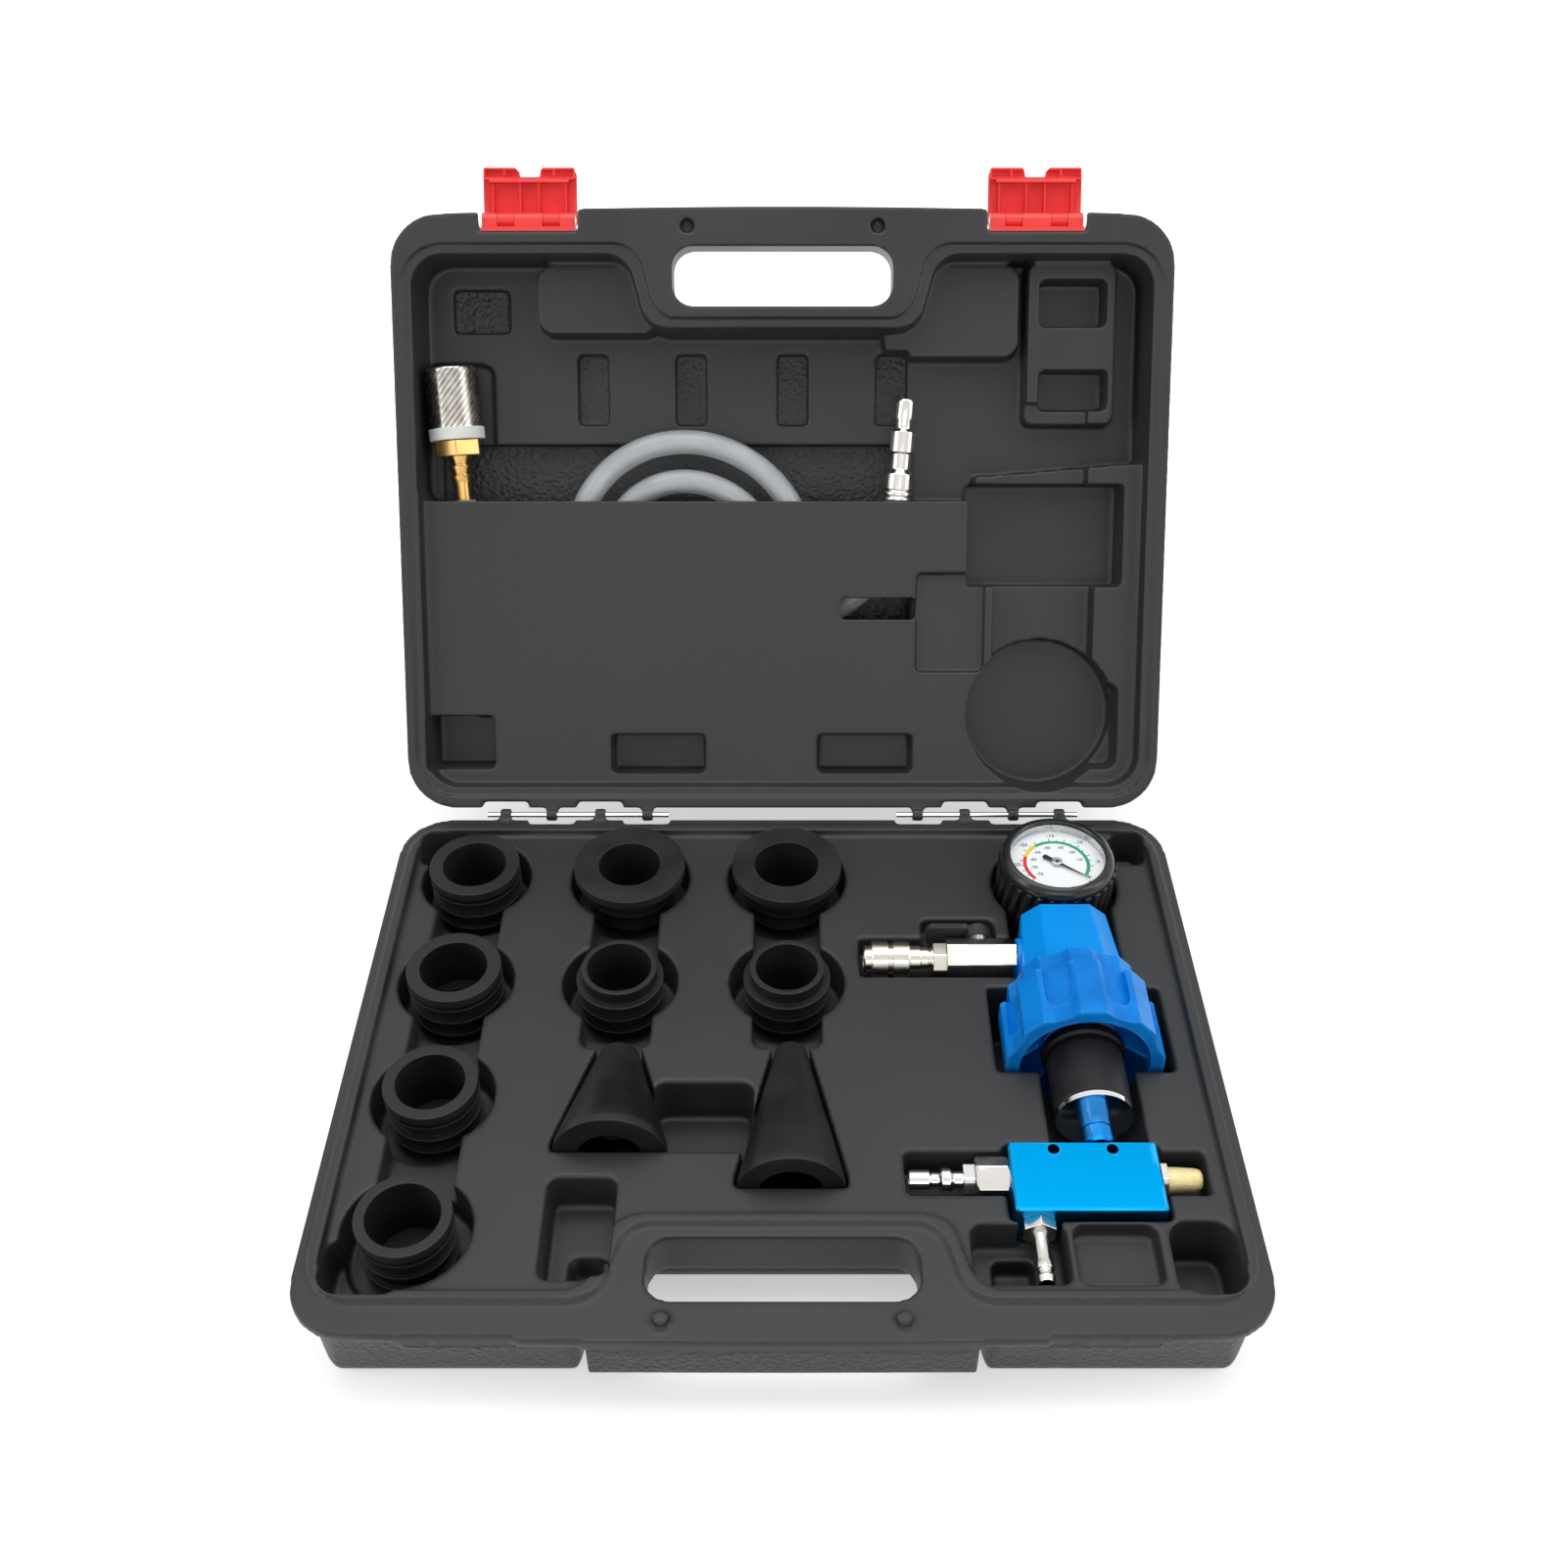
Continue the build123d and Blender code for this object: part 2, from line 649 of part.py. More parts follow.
def make_case_base():
    """Lower half: tray with a raised lip, contents' pockets, catches, pegs and hinge knuckles."""
    base = shell_block(-1)
    base -= sink(lip_line(-LIP_W), 0, TRAY_D, -1)
    band = Pos(0, 0, -TRAY_D) * (lip_line(0) - lip_line(-LIP_W))
    base += extrude(band, TRAY_D + LIP_UP, dir=(0, 0, 1))
    a, b, c = [across(s) for s in COLUMN_SHARES]
    small, flanged = ADAPTER_RIB_R + POCKET_ROOM, FLANGED_R + FLANGED_ROOM
    cuts = column_room(a, 4, [small] * 4) + column_room(b, 2, [flanged, small]) + column_room(c, 2, [flanged, small])
    cuts += cone_room(across(CONE_SHORT_X_SHARE), CONE_SHORT_Q, CONE_SHORT_L, CONE_SHORT_R, CONE_SHORT_TIP_R)
    cuts += cone_room(across(CONE_LONG_X_SHARE), CONE_LONG_Q, CONE_LONG_L, CONE_LONG_R, CONE_LONG_TIP_R)
    cuts += head_room_cuts()
    cuts += [pocket(row, -1, -OVERRUN) for row in BASE_POCKET_SHARES]
    for cut in cuts:
        base -= cut
    base -= hinge_notches(LID_KNUCKLE_SHARES, -1)
    base += knuckles(BASE_KNUCKLE_SHARES, -1, HINGE_PIN_R)
    for x, q in peg_places():
        base += Pos(x, -q, 0) * rod(PEG_R, PEG_UP)
    for way in (-1, 1):
        base = catch(base, way * across(LATCH_SHARE))
    return base


def catch(base, x):
    """The block under the rim that a latch hooks, flat in front, with two dividing ribs."""
    block = sink(box_between(x - CATCH_HALF, x + CATCH_HALF, CATCH_BACK, CATCH_FRONT + FLANGE_T, SEAT),
                 0, CATCH_D, -1)
    front = sink(box_between(x - CATCH_HALF, x + CATCH_HALF, CATCH_FRONT, CATCH_FRONT + OVERRUN, SEAT),
                 -OVERRUN, CATCH_D + SEAT, -1)
    base = base + block - front
    for way in (-1, 1):
        rib = sink(box_between(x + way * CATCH_HALF / 3 - CATCH_RIB_W / 2, x + way * CATCH_HALF / 3 + CATCH_RIB_W / 2,
                               CATCH_BACK, CATCH_FRONT + CATCH_RIB_W / 2, SEAT), TRAY_D, CATCH_D, -1)
        base += rib
    return base


# left, right, back, front, depth and corner of the lid's pockets and raised panels, as shares
LID_POCKET_SHARES = (
    (-0.557, -0.455, 0.652, 0.782, 0.89, 0.7),
    (-0.295, -0.193, 0.652, 0.782, 0.89, 0.7),
    (-0.025, 0.078, 0.652, 0.782, 0.89, 0.7),
    (0.239, 0.342, 0.652, 0.782, 0.89, 0.7),
    (-0.883, -0.716, 0.805, 0.888, 0.86, 0.7),
    (0.665, 0.85, 0.813, 0.896, 0.72, 0.7),
    (0.668, 0.858, 0.676, 0.75, 0.72, 0.7),
    (-0.466, -0.205, 0.063, 0.135, 0.62, 0.6),
    (0.091, 0.353, 0.063, 0.135, 0.62, 0.6),
    (-0.953, -0.774, 0.071, 0.168, 0.70, 0.6),
    (0.684, 0.905, 0.071, 0.222, 0.60, 1.0),
    (0.152, 0.36, 0.329, 0.369, 0.42, 0.5),
    (0.353, 0.541, 0.239, 0.411, 0.36, 0.5),
)
LID_ISLAND_SHARES = (
    (-0.642, -0.321, 0.803, 0.92, 0.42, 1.4),
    (0.263, 0.621, 0.765, 0.92, 0.42, 1.4),
    (0.637, 0.874, 0.655, 0.922, 0.38, 0.8),
)
PANEL_STEP_SHARES = ((1.0, 0.0), (1.0, 0.595), (0.51, 0.57), (0.50, 0.53), (-1.0, 0.53), (-1.0, 0.0))
WINDOW_SHARES = (-0.916, 0.345, 0.53, 0.625)
HOSE_POCKET_SHARES = (-0.916, 0.345, 0.16, 0.60)


def lid_panel():
    """The raised panel over the lid's back half, with the recess for the gauge left open."""
    points = [(across(x), -fore(q)) for x, q in PANEL_STEP_SHARES]
    face = make_face(Polyline(*points, close=True))
    return extrude(Pos(0, 0, PANEL_D) * face, CAVITY_D - PANEL_D, dir=(0, 0, 1))


def lid_head_cuts():
    """Recesses of the lid over the gauge, the body, the knob and the expander."""
    room = KNOB_RECESS_ROOM
    knob = KNOB_TIP_R + KNOB_ROOM
    gauge = sink(round_at(fore(GAUGE_ROOM_SHARE), HEAD_X, GAUGE_Q), 0, CAVITY_D, 1)
    body = sink(box_between(HEAD_X - BODY_FRONT_HALF - room, HEAD_X + BODY_FRONT_HALF + room,
                            GAUGE_Q, KNOB_Q + POCKET_R, SEAT), 0, CAVITY_D * 3 / 4, 1)
    barrel = sink(box_between(HEAD_X - knob, HEAD_X + knob, KNOB_Q - KNOB_ROOM, KNOB_Q + KNOB_L + KNOB_ROOM, room),
                  0, KNOB_TIP_R - HEAD_DOWN + KNOB_ROOM, 1)
    rubber = sink(box_between(HEAD_X - RUBBER_FLANGE_R - room, HEAD_X + RUBBER_FLANGE_R + room,
                              KNOB_Q + KNOB_L, NUT_END_Q, POCKET_R), 0, CAVITY_D * 2 / 3, 1)
    return [gauge, body, barrel, rubber]


def make_case_lid():
    """Upper half: groove for the lip, raised panels, hose pocket with its window, latch notches."""
    lid = Pos(0, 0, RIM_GAP) * shell_block(1)
    lid -= sink(lip_line(LIP_GAP), -OVERRUN, GROOVE_D, 1)
    inner = lip_line(-LIP_W)
    lid -= sink(inner, 0, CAVITY_D, 1, POCKET_TAPER_DEG)
    bound = sink(inner, 0, CAVITY_D + SEAT, 1)
    lid += lid_panel() & bound
    for x0, x1, q0, q1, depth, corner in LID_ISLAND_SHARES:
        outline = box_between(across(x0), across(x1), fore(q0), fore(q1), corner * POCKET_R)
        height = CAVITY_D - deep(depth)
        lid += extrude(Pos(0, 0, CAVITY_D) * outline, height, dir=(0, 0, -1), taper=POCKET_TAPER_DEG) & bound
    for row in LID_POCKET_SHARES:
        lid -= pocket(row, 1, 0)
    for cut in lid_head_cuts():
        lid -= cut
    lid = hose_pocket(lid)
    lid -= hinge_notches(BASE_KNUCKLE_SHARES, 1)
    lid += knuckles(LID_KNUCKLE_SHARES, 1, HINGE_PIN_R + RUN_GAP)
    for x, q in peg_places():
        lid -= Pos(x, -q, 0) * rod(PEG_R + PEG_GAP, SOCKET_D)
    for way in (-1, 1):
        x = way * across(LATCH_SHARE)
        lid -= sink(box_between(x - NOTCH_HALF, x + NOTCH_HALF, NOTCH_Q, NOTCH_Q + OVERRUN, SEAT),
                    -OVERRUN, NOTCH_D, 1)
    return lid


def hose_pocket(lid):
    """The hose lies behind the panel and shows through the window at its top edge."""
    x0, x1, q0, q1 = HOSE_POCKET_SHARES
    room = box_between(across(x0), across(x1), fore(q0), fore(q1), POCKET_R * 3)
    lid -= sink(room, PANEL_D + PANEL_T, HOSE_POCKET_D, 1)
    x0, x1, q0, q1 = WINDOW_SHARES
    window = box_between(across(x0), across(x1), fore(q0), fore(q1), POCKET_R / 2)
    lid -= sink(window, 0, HOSE_POCKET_D, 1)
    wall = LIP_SIDE + LIP_W - SEAT - CASE_WIDTH / 2
    strainer = box_between(wall, STRAINER_X + COLLAR_R + HEAD_ROOM / 2,
                           fore(WINDOW_SHARES[2]), 
                           STRAINER_Q + BARB_L + STRAINER_HEX_L + COLLAR_L + STRAINER_L + HEAD_ROOM, POCKET_R)
    return lid - sink(strainer, 0, HOSE_D + STRAINER_DOWN + COLLAR_R + SEAT, 1)


def inner_room(side, x0, x1):
    """The space inside the outer skin of a half, from one place across to another."""
    strip = Pos((x0 + x1) / 2, -CASE_FRONT / 2) * Rectangle(x1 - x0, CASE_FRONT)
    return sink(lip_line(-LIP_W - SKIN_T) & strip, -OVERRUN, HALF_DEPTH - FLOOR_T, side)


def skins(half, side, split):
    """One moulded half as its outer skin and the left and right of its inner form.

    The three are one moulding in the real case, and they meet face to face.
    """
    left = inner_room(side, -CASE_WIDTH / 2, split)
    right = inner_room(side, split, CASE_WIDTH / 2)
    return half - left - right, half & left, half & right


def make_hinge_pin(way):
    near, far = [across(s) for s in HINGE_PIN_SHARES]
    pin = extrude(Plane.YZ * Circle(HINGE_PIN_R), far - near, dir=(1, 0, 0))
    return Pos(near if way > 0 else -far, 0, 0) * pin


# ---- latches, made with the pin on the X axis and the plate pointing forward ----
def latch_bar(x0, x1, radius, bore):
    disc = Circle(radius) - Circle(bore) if bore else Circle(radius)
    return Pos(x0, 0, 0) * extrude(Plane.YZ * disc, x1 - x0, dir=(1, 0, 0))


def latch_arm(x0, x1):
    """The solid that ties a latch knuckle to its plate."""
    face = make_face(Plane.YZ * Polyline(
        (-LATCH_HUB_R, LATCH_OFF + LATCH_T), (-LATCH_HUB_R, 0), (LATCH_HUB_R, 0),
        (LATCH_HUB_R, LATCH_OFF + LATCH_T), close=True))
    return Pos(x0, 0, 0) * extrude(face, x1 - x0, dir=(1, 0, 0))


def make_latch():
    half = LATCH_W / 2
    plate = Pos(0, (LATCH_HUB_R - LATCH_REACH) / 2, LATCH_OFF) * extrude(
        RectangleRounded(LATCH_W, LATCH_REACH + LATCH_HUB_R, LATCH_HUB_R), LATCH_T)
    dip = Pos(0, -LATCH_REACH - LATCH_DIP_R * 2 / 3, 0) * rod(LATCH_DIP_R, OVERRUN)
    slot = Pos(0, -LATCH_HOOK_AT - LATCH_SLOT_W * 2, 0) * extrude(
        RectangleRounded(2 * LATCH_SLOT_HALF, LATCH_SLOT_W * 2, LATCH_SLOT_W / 2), OVERRUN)
    latch = plate - dip - slot
    latch = fillet(latch.faces().sort_by(Axis.Z)[-1].edges(), LATCH_EDGE_R)
    hook_half = half - LATCH_HUB_R
    hook = make_face(Plane.YZ * Polyline(
        (-LATCH_HOOK_AT, LATCH_OFF), (-LATCH_HOOK_AT, LATCH_OFF - LATCH_HOOK_UP),
        (-LATCH_HOOK_AT - LATCH_HOOK_L / 2, LATCH_OFF - LATCH_HOOK_UP),
        (-LATCH_HOOK_AT - LATCH_HOOK_L, LATCH_OFF), close=True))
    latch += Pos(-hook_half, 0, 0) * extrude(hook, 2 * hook_half, dir=(1, 0, 0))
    inner, outer = [s * half for s in LATCH_KNUCKLE_SHARES]
    for x0, x1 in ((inner, outer), (-outer, -inner)):
        knuckle = latch_arm(x0, x1) + latch_bar(x0, x1, LATCH_HUB_R, LATCH_PIN_R)
        latch += knuckle - latch_bar(x0, x1, LATCH_PIN_R + RUN_GAP, 0)
    rim = Pos(0, -(LATCH_RIM_AT + LATCH_REACH) / 2, LATCH_OFF - LATCH_RIM_H) * extrude(
        RectangleRounded(LATCH_W - LATCH_EDGE_R, LATCH_REACH - LATCH_RIM_AT, LATCH_EDGE_R), LATCH_RIM_H)
    for x0, x1 in LATCH_CELL_SHARES:
        rim -= Pos((x0 + x1) * half / 2, -(LATCH_RIM_AT + LATCH_REACH) / 2, LATCH_OFF - LATCH_RIM_H / 2) * Box(
            (x1 - x0) * half, LATCH_REACH - LATCH_RIM_AT - 2 * LATCH_WEB, LATCH_RIM_H)
    latch += rim - dip
    for share in LATCH_RIB_SHARES:
        rib = Pos(share * half, -(LATCH_HUB_R + LATCH_HOOK_AT) / 2, LATCH_OFF - LATCH_T / 2) * Box(
            LATCH_T / 2, LATCH_HOOK_AT - LATCH_HUB_R, LATCH_T)
        latch += rib
    return latch


def make_latch_mount():
    half = LATCH_W / 2 - LATCH_SIDE_GAP
    back = LATCH_Q - NOTCH_Q
    plate = Pos(0, back - MOUNT_T / 2, MOUNT_TOP + MOUNT_H / 2 - LATCH_D) * Box(2 * half, MOUNT_T, MOUNT_H)
    inner, outer = [s * LATCH_W / 2 for s in LATCH_KNUCKLE_SHARES]
    gap = LATCH_SIDE_GAP
    mount = plate
    for x0, x1 in ((-half, -outer - gap), (-inner + gap, inner - gap), (outer + gap, half)):
        ear = Pos((x0 + x1) / 2, (back - MOUNT_T / 2) / 2, 0) * Box(x1 - x0, back - MOUNT_T / 2, 2 * LATCH_HUB_R)
        mount += ear + latch_bar(x0, x1, LATCH_HUB_R, 0)
    return mount - latch_bar(-half, half, LATCH_PIN_R, 0)


def make_latch_pin():
    half = LATCH_W / 2 - LATCH_SIDE_GAP
    return Pos(-half, 0, 0) * extrude(Plane.YZ * Circle(LATCH_PIN_R), 2 * half, dir=(1, 0, 0))


# ---- adapters ----
def make_adapter(rib_r, core_r, bore_r, cap_r, cap_h, ledge_r):
    """A rubber adapter: three angled lips round a sleeve, an optional flange on top."""
    points = [(ledge_r, 0), (core_r, 0)]
    for i in range(RIB_COUNT):
        z = RIB_START + i * RIB_PITCH
        if z + RIB_RISE + RIB_LAND > ADAPTER_H - cap_h:
            break
        points += [(core_r, z), (rib_r, z + RIB_RISE), (rib_r, z + RIB_RISE + RIB_LAND),
                   (core_r, z + RIB_RISE + RIB_LAND)]
    points += [(core_r, ADAPTER_H - cap_h), (cap_r, ADAPTER_H - cap_h), (cap_r, ADAPTER_H), (bore_r, ADAPTER_H)]
    points += [(bore_r, LEDGE_H), (ledge_r, LEDGE_H)] if ledge_r < bore_r else []
    return Pos(0, 0, ADAPTER_UP - ADAPTER_H) * turned(points)


# column, row, lip radius, sleeve radius, bore radius, top radius and ledge radius, the radii as
# shares of the common lip radius
ADAPTER_SHARES = (
    (0, 0, 1.0, 0.86, 0.70, 1.0, 0.70),
    (0, 1, 0.99, 0.86, 0.70, 0.99, 0.46),
    (0, 2, 0.93, 0.80, 0.68, 0.93, 0.68),
    (0, 3, 0.90, 0.80, 0.69, 0.90, 0.69),
    (1, 0, 1.0, 0.84, 0.68, 1.235, 0.68),
    (2, 0, 1.0, 0.84, 0.71, 1.22, 0.71),
    (1, 1, 0.92, 0.79, 0.67, 0.79, 0.67),
    (2, 1, 0.92, 0.78, 0.65, 0.78, 0.65),
)


def make_adapters():
    made = {}
    for i, (column, row, rib, core, bore, cap, ledge) in enumerate(ADAPTER_SHARES):
        radii = [ADAPTER_RIB_R * s for s in (rib, core, bore, cap, ledge)]
        solid = make_adapter(radii[0], radii[1], radii[2], radii[3], CAP_H, radii[4])
        made["adapter_%d" % (i + 1)] = Pos(across(COLUMN_SHARES[column]), -fore(ROW_SHARES[row]), 0) * solid
    return made


def make_cone(length, radius, tip):
    """A rubber cone with a band at its wide end, bored from there and pierced at the tip."""
    neck = length / 4
    points = [(CONE_EYE_R, 0), (tip, 0), (radius, length - CONE_BAND), (radius, length), (CONE_BORE_R, length),
              (CONE_BORE_R, length * 2 / 3), (CONE_EYE_R, length * 2 / 3 - neck)]
    return turned(points)


# ---- head ----
def body_section(half, top):
    chamfer_x, chamfer_y = half * BODY_CHAMFER_SHARE, top * BODY_CHAMFER_SHARE
    points = [(half, top - chamfer_y), (half - chamfer_x, top), (chamfer_x - half, top), (-half, top - chamfer_y),
              (-half, chamfer_y - top), (chamfer_x - half, -top), (half - chamfer_x, -top), (half, chamfer_y - top)]
    return make_face(Polyline(*points, close=True))


def make_head_body():
    """Moulded body: a faceted block that widens forward, with spigot, bore and two ports."""
    block = loft([body_section(BODY_BACK_HALF, BODY_TOP_BACK),
                  Pos(0, 0, BODY_L) * body_section(BODY_FRONT_HALF, BODY_TOP_FRONT)], ruled=True)
    block += Pos(0, 0, BODY_L) * rod(SPIGOT_R, SPIGOT_L)
    boss_at = VALVE_Q - BODY_Q
    boss = Pos(0, 0, boss_at) * Rot(Y=-90) * rod(BOSS_R, VALVE_FROM_HEAD - KNOB_GAP)
    block += boss
    block -= Pos(0, 0, BODY_L + SPIGOT_L - TUBE_IN - DRAW * 2) * rod(TUBE_R + RUN_GAP, TUBE_IN + DRAW * 2)
    block -= rod(TUBE_BORE_R, BODY_L)
    block -= rod(GAUGE_STEM_R, GAUGE_STEM_IN)
    port = Pos(0, 0, boss_at) * Rot(Y=-90)
    block -= port * rod(TUBE_BORE_R, VALVE_FROM_HEAD)
    block -= port * Pos(0, 0, VALVE_FROM_HEAD + NIPPLE_IN - NIPPLE_L) * rod(NIPPLE_R, NIPPLE_L)
    return forward(block, BODY_Q)


def knob_outline(scale_share=1.0):
    """Eight round lobes joined by shallow hollows."""
    step = 2 * math.pi / KNOB_LOBES
    points = []
    for i in range(KNOB_LOBES):
        a = math.pi / 2 + i * step
        for part, radius in ((-0.36, KNOB_VALLEY_R), (-0.2, KNOB_TIP_R), (0.2, KNOB_TIP_R), (0.36, KNOB_VALLEY_R)):
            reach = radius * scale_share
            points.append((reach * math.cos(a + part * step), reach * math.sin(a + part * step)))
    face = make_face(Polyline(*points, close=True))
    return fillet(face.vertices(), KNOB_EDGE_R)


def knob_rib():
    """A rib of the cup: it falls from near the rim to a step, and from there to the hub."""
    rim = KNOB_VALLEY_R - KNOB_WALL / 2
    hub = KNOB_L - KNOB_HUB_SHORT
    points = [(0, KNOB_WEB), (rim, KNOB_WEB), (rim, KNOB_L - KNOB_RIB_DOWN), (KNOB_STEP_R, hub + KNOB_RIB_T),
              (KNOB_STEP_R, hub), (0, hub)]
    face = make_face(Plane.XZ * Polyline(*points, close=True))
    return Pos(0, KNOB_RIB_T / 2, 0) * extrude(face, KNOB_RIB_T, dir=(0, -1, 0))


def make_head_knob():
    """Hand knob: a narrower back collar, lobes with scooped hollows, and a ribbed cup in front."""
    knob = extrude(knob_outline(KNOB_BACK_SHARE), KNOB_BACK_L)
    knob += Pos(0, 0, KNOB_BACK_L) * extrude(knob_outline(), KNOB_L - KNOB_BACK_L)
    scoop = Pos(KNOB_VALLEY_R - KNOB_SCOOP_D, 0, KNOB_BACK_L) * Rot(Y=90) * extrude(
        RectangleRounded(2 * KNOB_SCOOP_L, KNOB_SCOOP_W, KNOB_SCOOP_W * KNOB_BACK_SHARE / 2), KNOB_TIP_R)
    for i in range(KNOB_LOBES):
        knob -= Rot(Z=(i + 0.5) * 360 / KNOB_LOBES) * scoop
    knob -= Pos(0, 0, KNOB_WEB) * rod(KNOB_VALLEY_R - KNOB_WALL, KNOB_L)
    knob += Pos(0, 0, KNOB_WEB) * rod(KNOB_HUB_R, KNOB_L - KNOB_WEB - KNOB_HUB_SHORT)
    rib = knob_rib()
    for i in range(KNOB_LOBES):
        knob += Rot(Z=i * 360 / KNOB_LOBES) * rib
    knob -= rod(TUBE_R + RUN_GAP, KNOB_L)
    knob -= rod(SPIGOT_R + RUN_GAP, SPIGOT_L + KNOB_GAP)
    return forward(knob, KNOB_Q)


def make_stem_tube():
    start = BODY_Q + BODY_L + SPIGOT_L - TUBE_IN
    length = NUT_END_Q - NUT_EDGE * 2 - start
    return forward(rod(TUBE_R, length) - rod(TUBE_BORE_R, length), start)


def make_rubber():
    bore = TUBE_R + RUBBER_GAP
    soft = RUBBER_FLANGE_L / 5
    points = [(bore, 0), (RUBBER_FLANGE_R - soft, 0), (RUBBER_FLANGE_R, soft), (RUBBER_FLANGE_R, RUBBER_FLANGE_L - soft),
              (RUBBER_FLANGE_R - soft, RUBBER_FLANGE_L), (RUBBER_R, RUBBER_FLANGE_L), (RUBBER_R, RUBBER_L - soft),
              (RUBBER_R - soft, RUBBER_L), (bore, RUBBER_L)]
    return forward(turned(points), RUBBER_Q)


def make_expander_nut():
    middle = NUT_L / 2
    points = [(TUBE_BORE_R, NUT_L), (NUT_R - NUT_EDGE, NUT_L), (NUT_R, NUT_L - NUT_EDGE), (NUT_R, middle),
              (NUT_R - NUT_GROOVE, middle), (NUT_R - NUT_GROOVE, middle - NUT_GROOVE), (NUT_R, middle - NUT_GROOVE),
              (NUT_R, 0), (TUBE_R, 0),
              (TUBE_R, NUT_L - NUT_EDGE * 2), (TUBE_BORE_R, NUT_L - NUT_EDGE * 2)]
    return forward(turned(points), NUT_Q)


def ring(inner, outer, length):
    return rod(outer, length) - rod(inner, length)


# ---- gauge, made upright about its own axis with the stem's height at zero ----
def make_gauge_boot():
    bottom = -STEM_HEIGHT
    top = bottom + GAUGE_FLOOR_T + GAUGE_H + BOOT_LIP_T
    step = (top - BOOT_LIP_T * 2 - bottom) / (2 * BOOT_RIBS)
    points = [(0, bottom), (BOOT_R, bottom)]
    for i in range(BOOT_RIBS):
        z = bottom + (2 * i + 1) * step
        points += [(BOOT_R, z), (BOOT_RIB_R, z), (BOOT_RIB_R, z + step), (BOOT_R, z + step)]
    points += [(BOOT_R, top - BOOT_LIP_T / 2), (BOOT_R - BOOT_LIP_T / 2, top), (BOOT_LIP_R, top),
               (BOOT_LIP_R, top - BOOT_LIP_T), (GAUGE_R, top - BOOT_LIP_T), (GAUGE_R, bottom + GAUGE_FLOOR_T),
               (0, bottom + GAUGE_FLOOR_T)]
    boot = turned(points)
    hole = Rot(X=90) * rod(GAUGE_STEM_HEX / math.sqrt(3) + SEAT, BOOT_RIB_R + OVERRUN)
    return boot - Pos(0, -GAUGE_R / 2, 0) * hole


def gauge_levels():
    floor = GAUGE_FLOOR_T - STEM_HEIGHT
    top = floor + GAUGE_H
    return floor, top, top - DIAL_DOWN


def make_gauge_case():
    floor, top, dial = gauge_levels()
    wall = GAUGE_WALL
    points = [(0, floor), (GAUGE_R, floor), (GAUGE_R, top), (DIAL_R, top), (DIAL_R, dial - DIAL_T),
              (DIAL_R - wall, dial - DIAL_T), (DIAL_R - wall, floor + wall), (0, floor + wall)]
    return turned(points) - Rot(X=90) * rod(GAUGE_STEM_R, GAUGE_R + OVERRUN)


def make_gauge_stem():
    """Brass socket: a block inside the case, a hexagon outside it and a thread into the body."""
    floor = gauge_levels()[0] + GAUGE_WALL
    inside = GAUGE_R - GAUGE_WALL * 3
    block_z = (floor + SOCKET_BLOCK / 2) / 2
    block = Pos(0, -inside + SOCKET_BLOCK / 2, block_z) * Box(SOCKET_BLOCK, SOCKET_BLOCK, SOCKET_BLOCK / 2 - floor)
    thread = Pos(0, -inside + SOCKET_BLOCK / 2, 0) * Rot(X=90) * rod(
        GAUGE_STEM_R, BODY_START + GAUGE_STEM_IN - inside + SOCKET_BLOCK / 2)
    nut = Pos(0, -GAUGE_R, 0) * Rot(X=90) * hexagon(GAUGE_STEM_HEX, BODY_START - GAUGE_R)
    bore = Pos(0, -inside + SOCKET_BLOCK, 0) * Rot(X=90) * rod(TUBE_BORE_R, BODY_START + OVERRUN)
    return block + thread + nut - bore


def make_bourdon():
    """The flat curved tube that straightens under vacuum, seated on the socket block."""
    low = SOCKET_BLOCK / 2 + BOURDON_H / 2
    section = Plane.XZ * Pos(BOURDON_R, low) * RectangleRounded(BOURDON_T, BOURDON_H, BOURDON_T / 3)
    return Rot(Z=-90) * revolve(section, Axis.Z, BOURDON_SWEEP_DEG)


def make_needle():
    """A tapering pointer with a broad tail on a short arbor."""
    level = gauge_levels()[2] + NEEDLE_LIFT
    half = NEEDLE_W / 2
    points = [(NEEDLE_L, half / 4), (NEEDLE_L, -half / 4), (0, -half), (-NEEDLE_TAIL, -2 * half), (-NEEDLE_TAIL, 2 * half),
              (0, half)]
    hand = extrude(Pos(0, 0, level) * make_face(Polyline(*points, close=True)), NEEDLE_T)
    hub = Pos(0, 0, level) * rod(NEEDLE_HUB_R, 3 * NEEDLE_T)
    arbor = Pos(0, 0, level - NEEDLE_LIFT - SOCKET_BLOCK / 3) * rod(ARBOR_R, NEEDLE_LIFT + SOCKET_BLOCK / 3)
    return Rot(Z=NEEDLE_REST_DEG) * (hand + hub + arbor)


def at_gauge(shape):
    return Pos(HEAD_X, -GAUGE_Q, -HEAD_DOWN) * shape


# ---- valve line, made upright along its axis, from the head towards the coupler's nose ----
def make_valve_body():
    body = hexagon(VALVE_HEX, VALVE_L)
    middle = VALVE_L / 2
    waist = Pos(0, 0, middle - BALL_R) * (rod(VALVE_HEX, 2 * BALL_R) - rod(VALVE_HEX / 2, 2 * BALL_R))
    body -= waist
    neck = Pos(0, 0, middle) * Rot(X=-90) * rod(STEM_R * 2, STEM_TOP - LEVER_HUB_L - SEAT)
    body += neck
    body -= rod(VALVE_BORE_R, VALVE_L)
    body -= rod(NIPPLE_R, NIPPLE_IN)
    body -= Pos(0, 0, VALVE_L - COUPLER_STUB) * rod(NIPPLE_R, COUPLER_STUB)
    chamber = middle - BALL_R - SEAT_L
    body -= Pos(0, 0, chamber) * rod(BALL_R + BALL_GAP, 2 * (BALL_R + SEAT_L))
    body -= Pos(0, 0, middle) * Rot(X=-90) * rod(STEM_R + RUN_GAP, STEM_TOP)
    return body


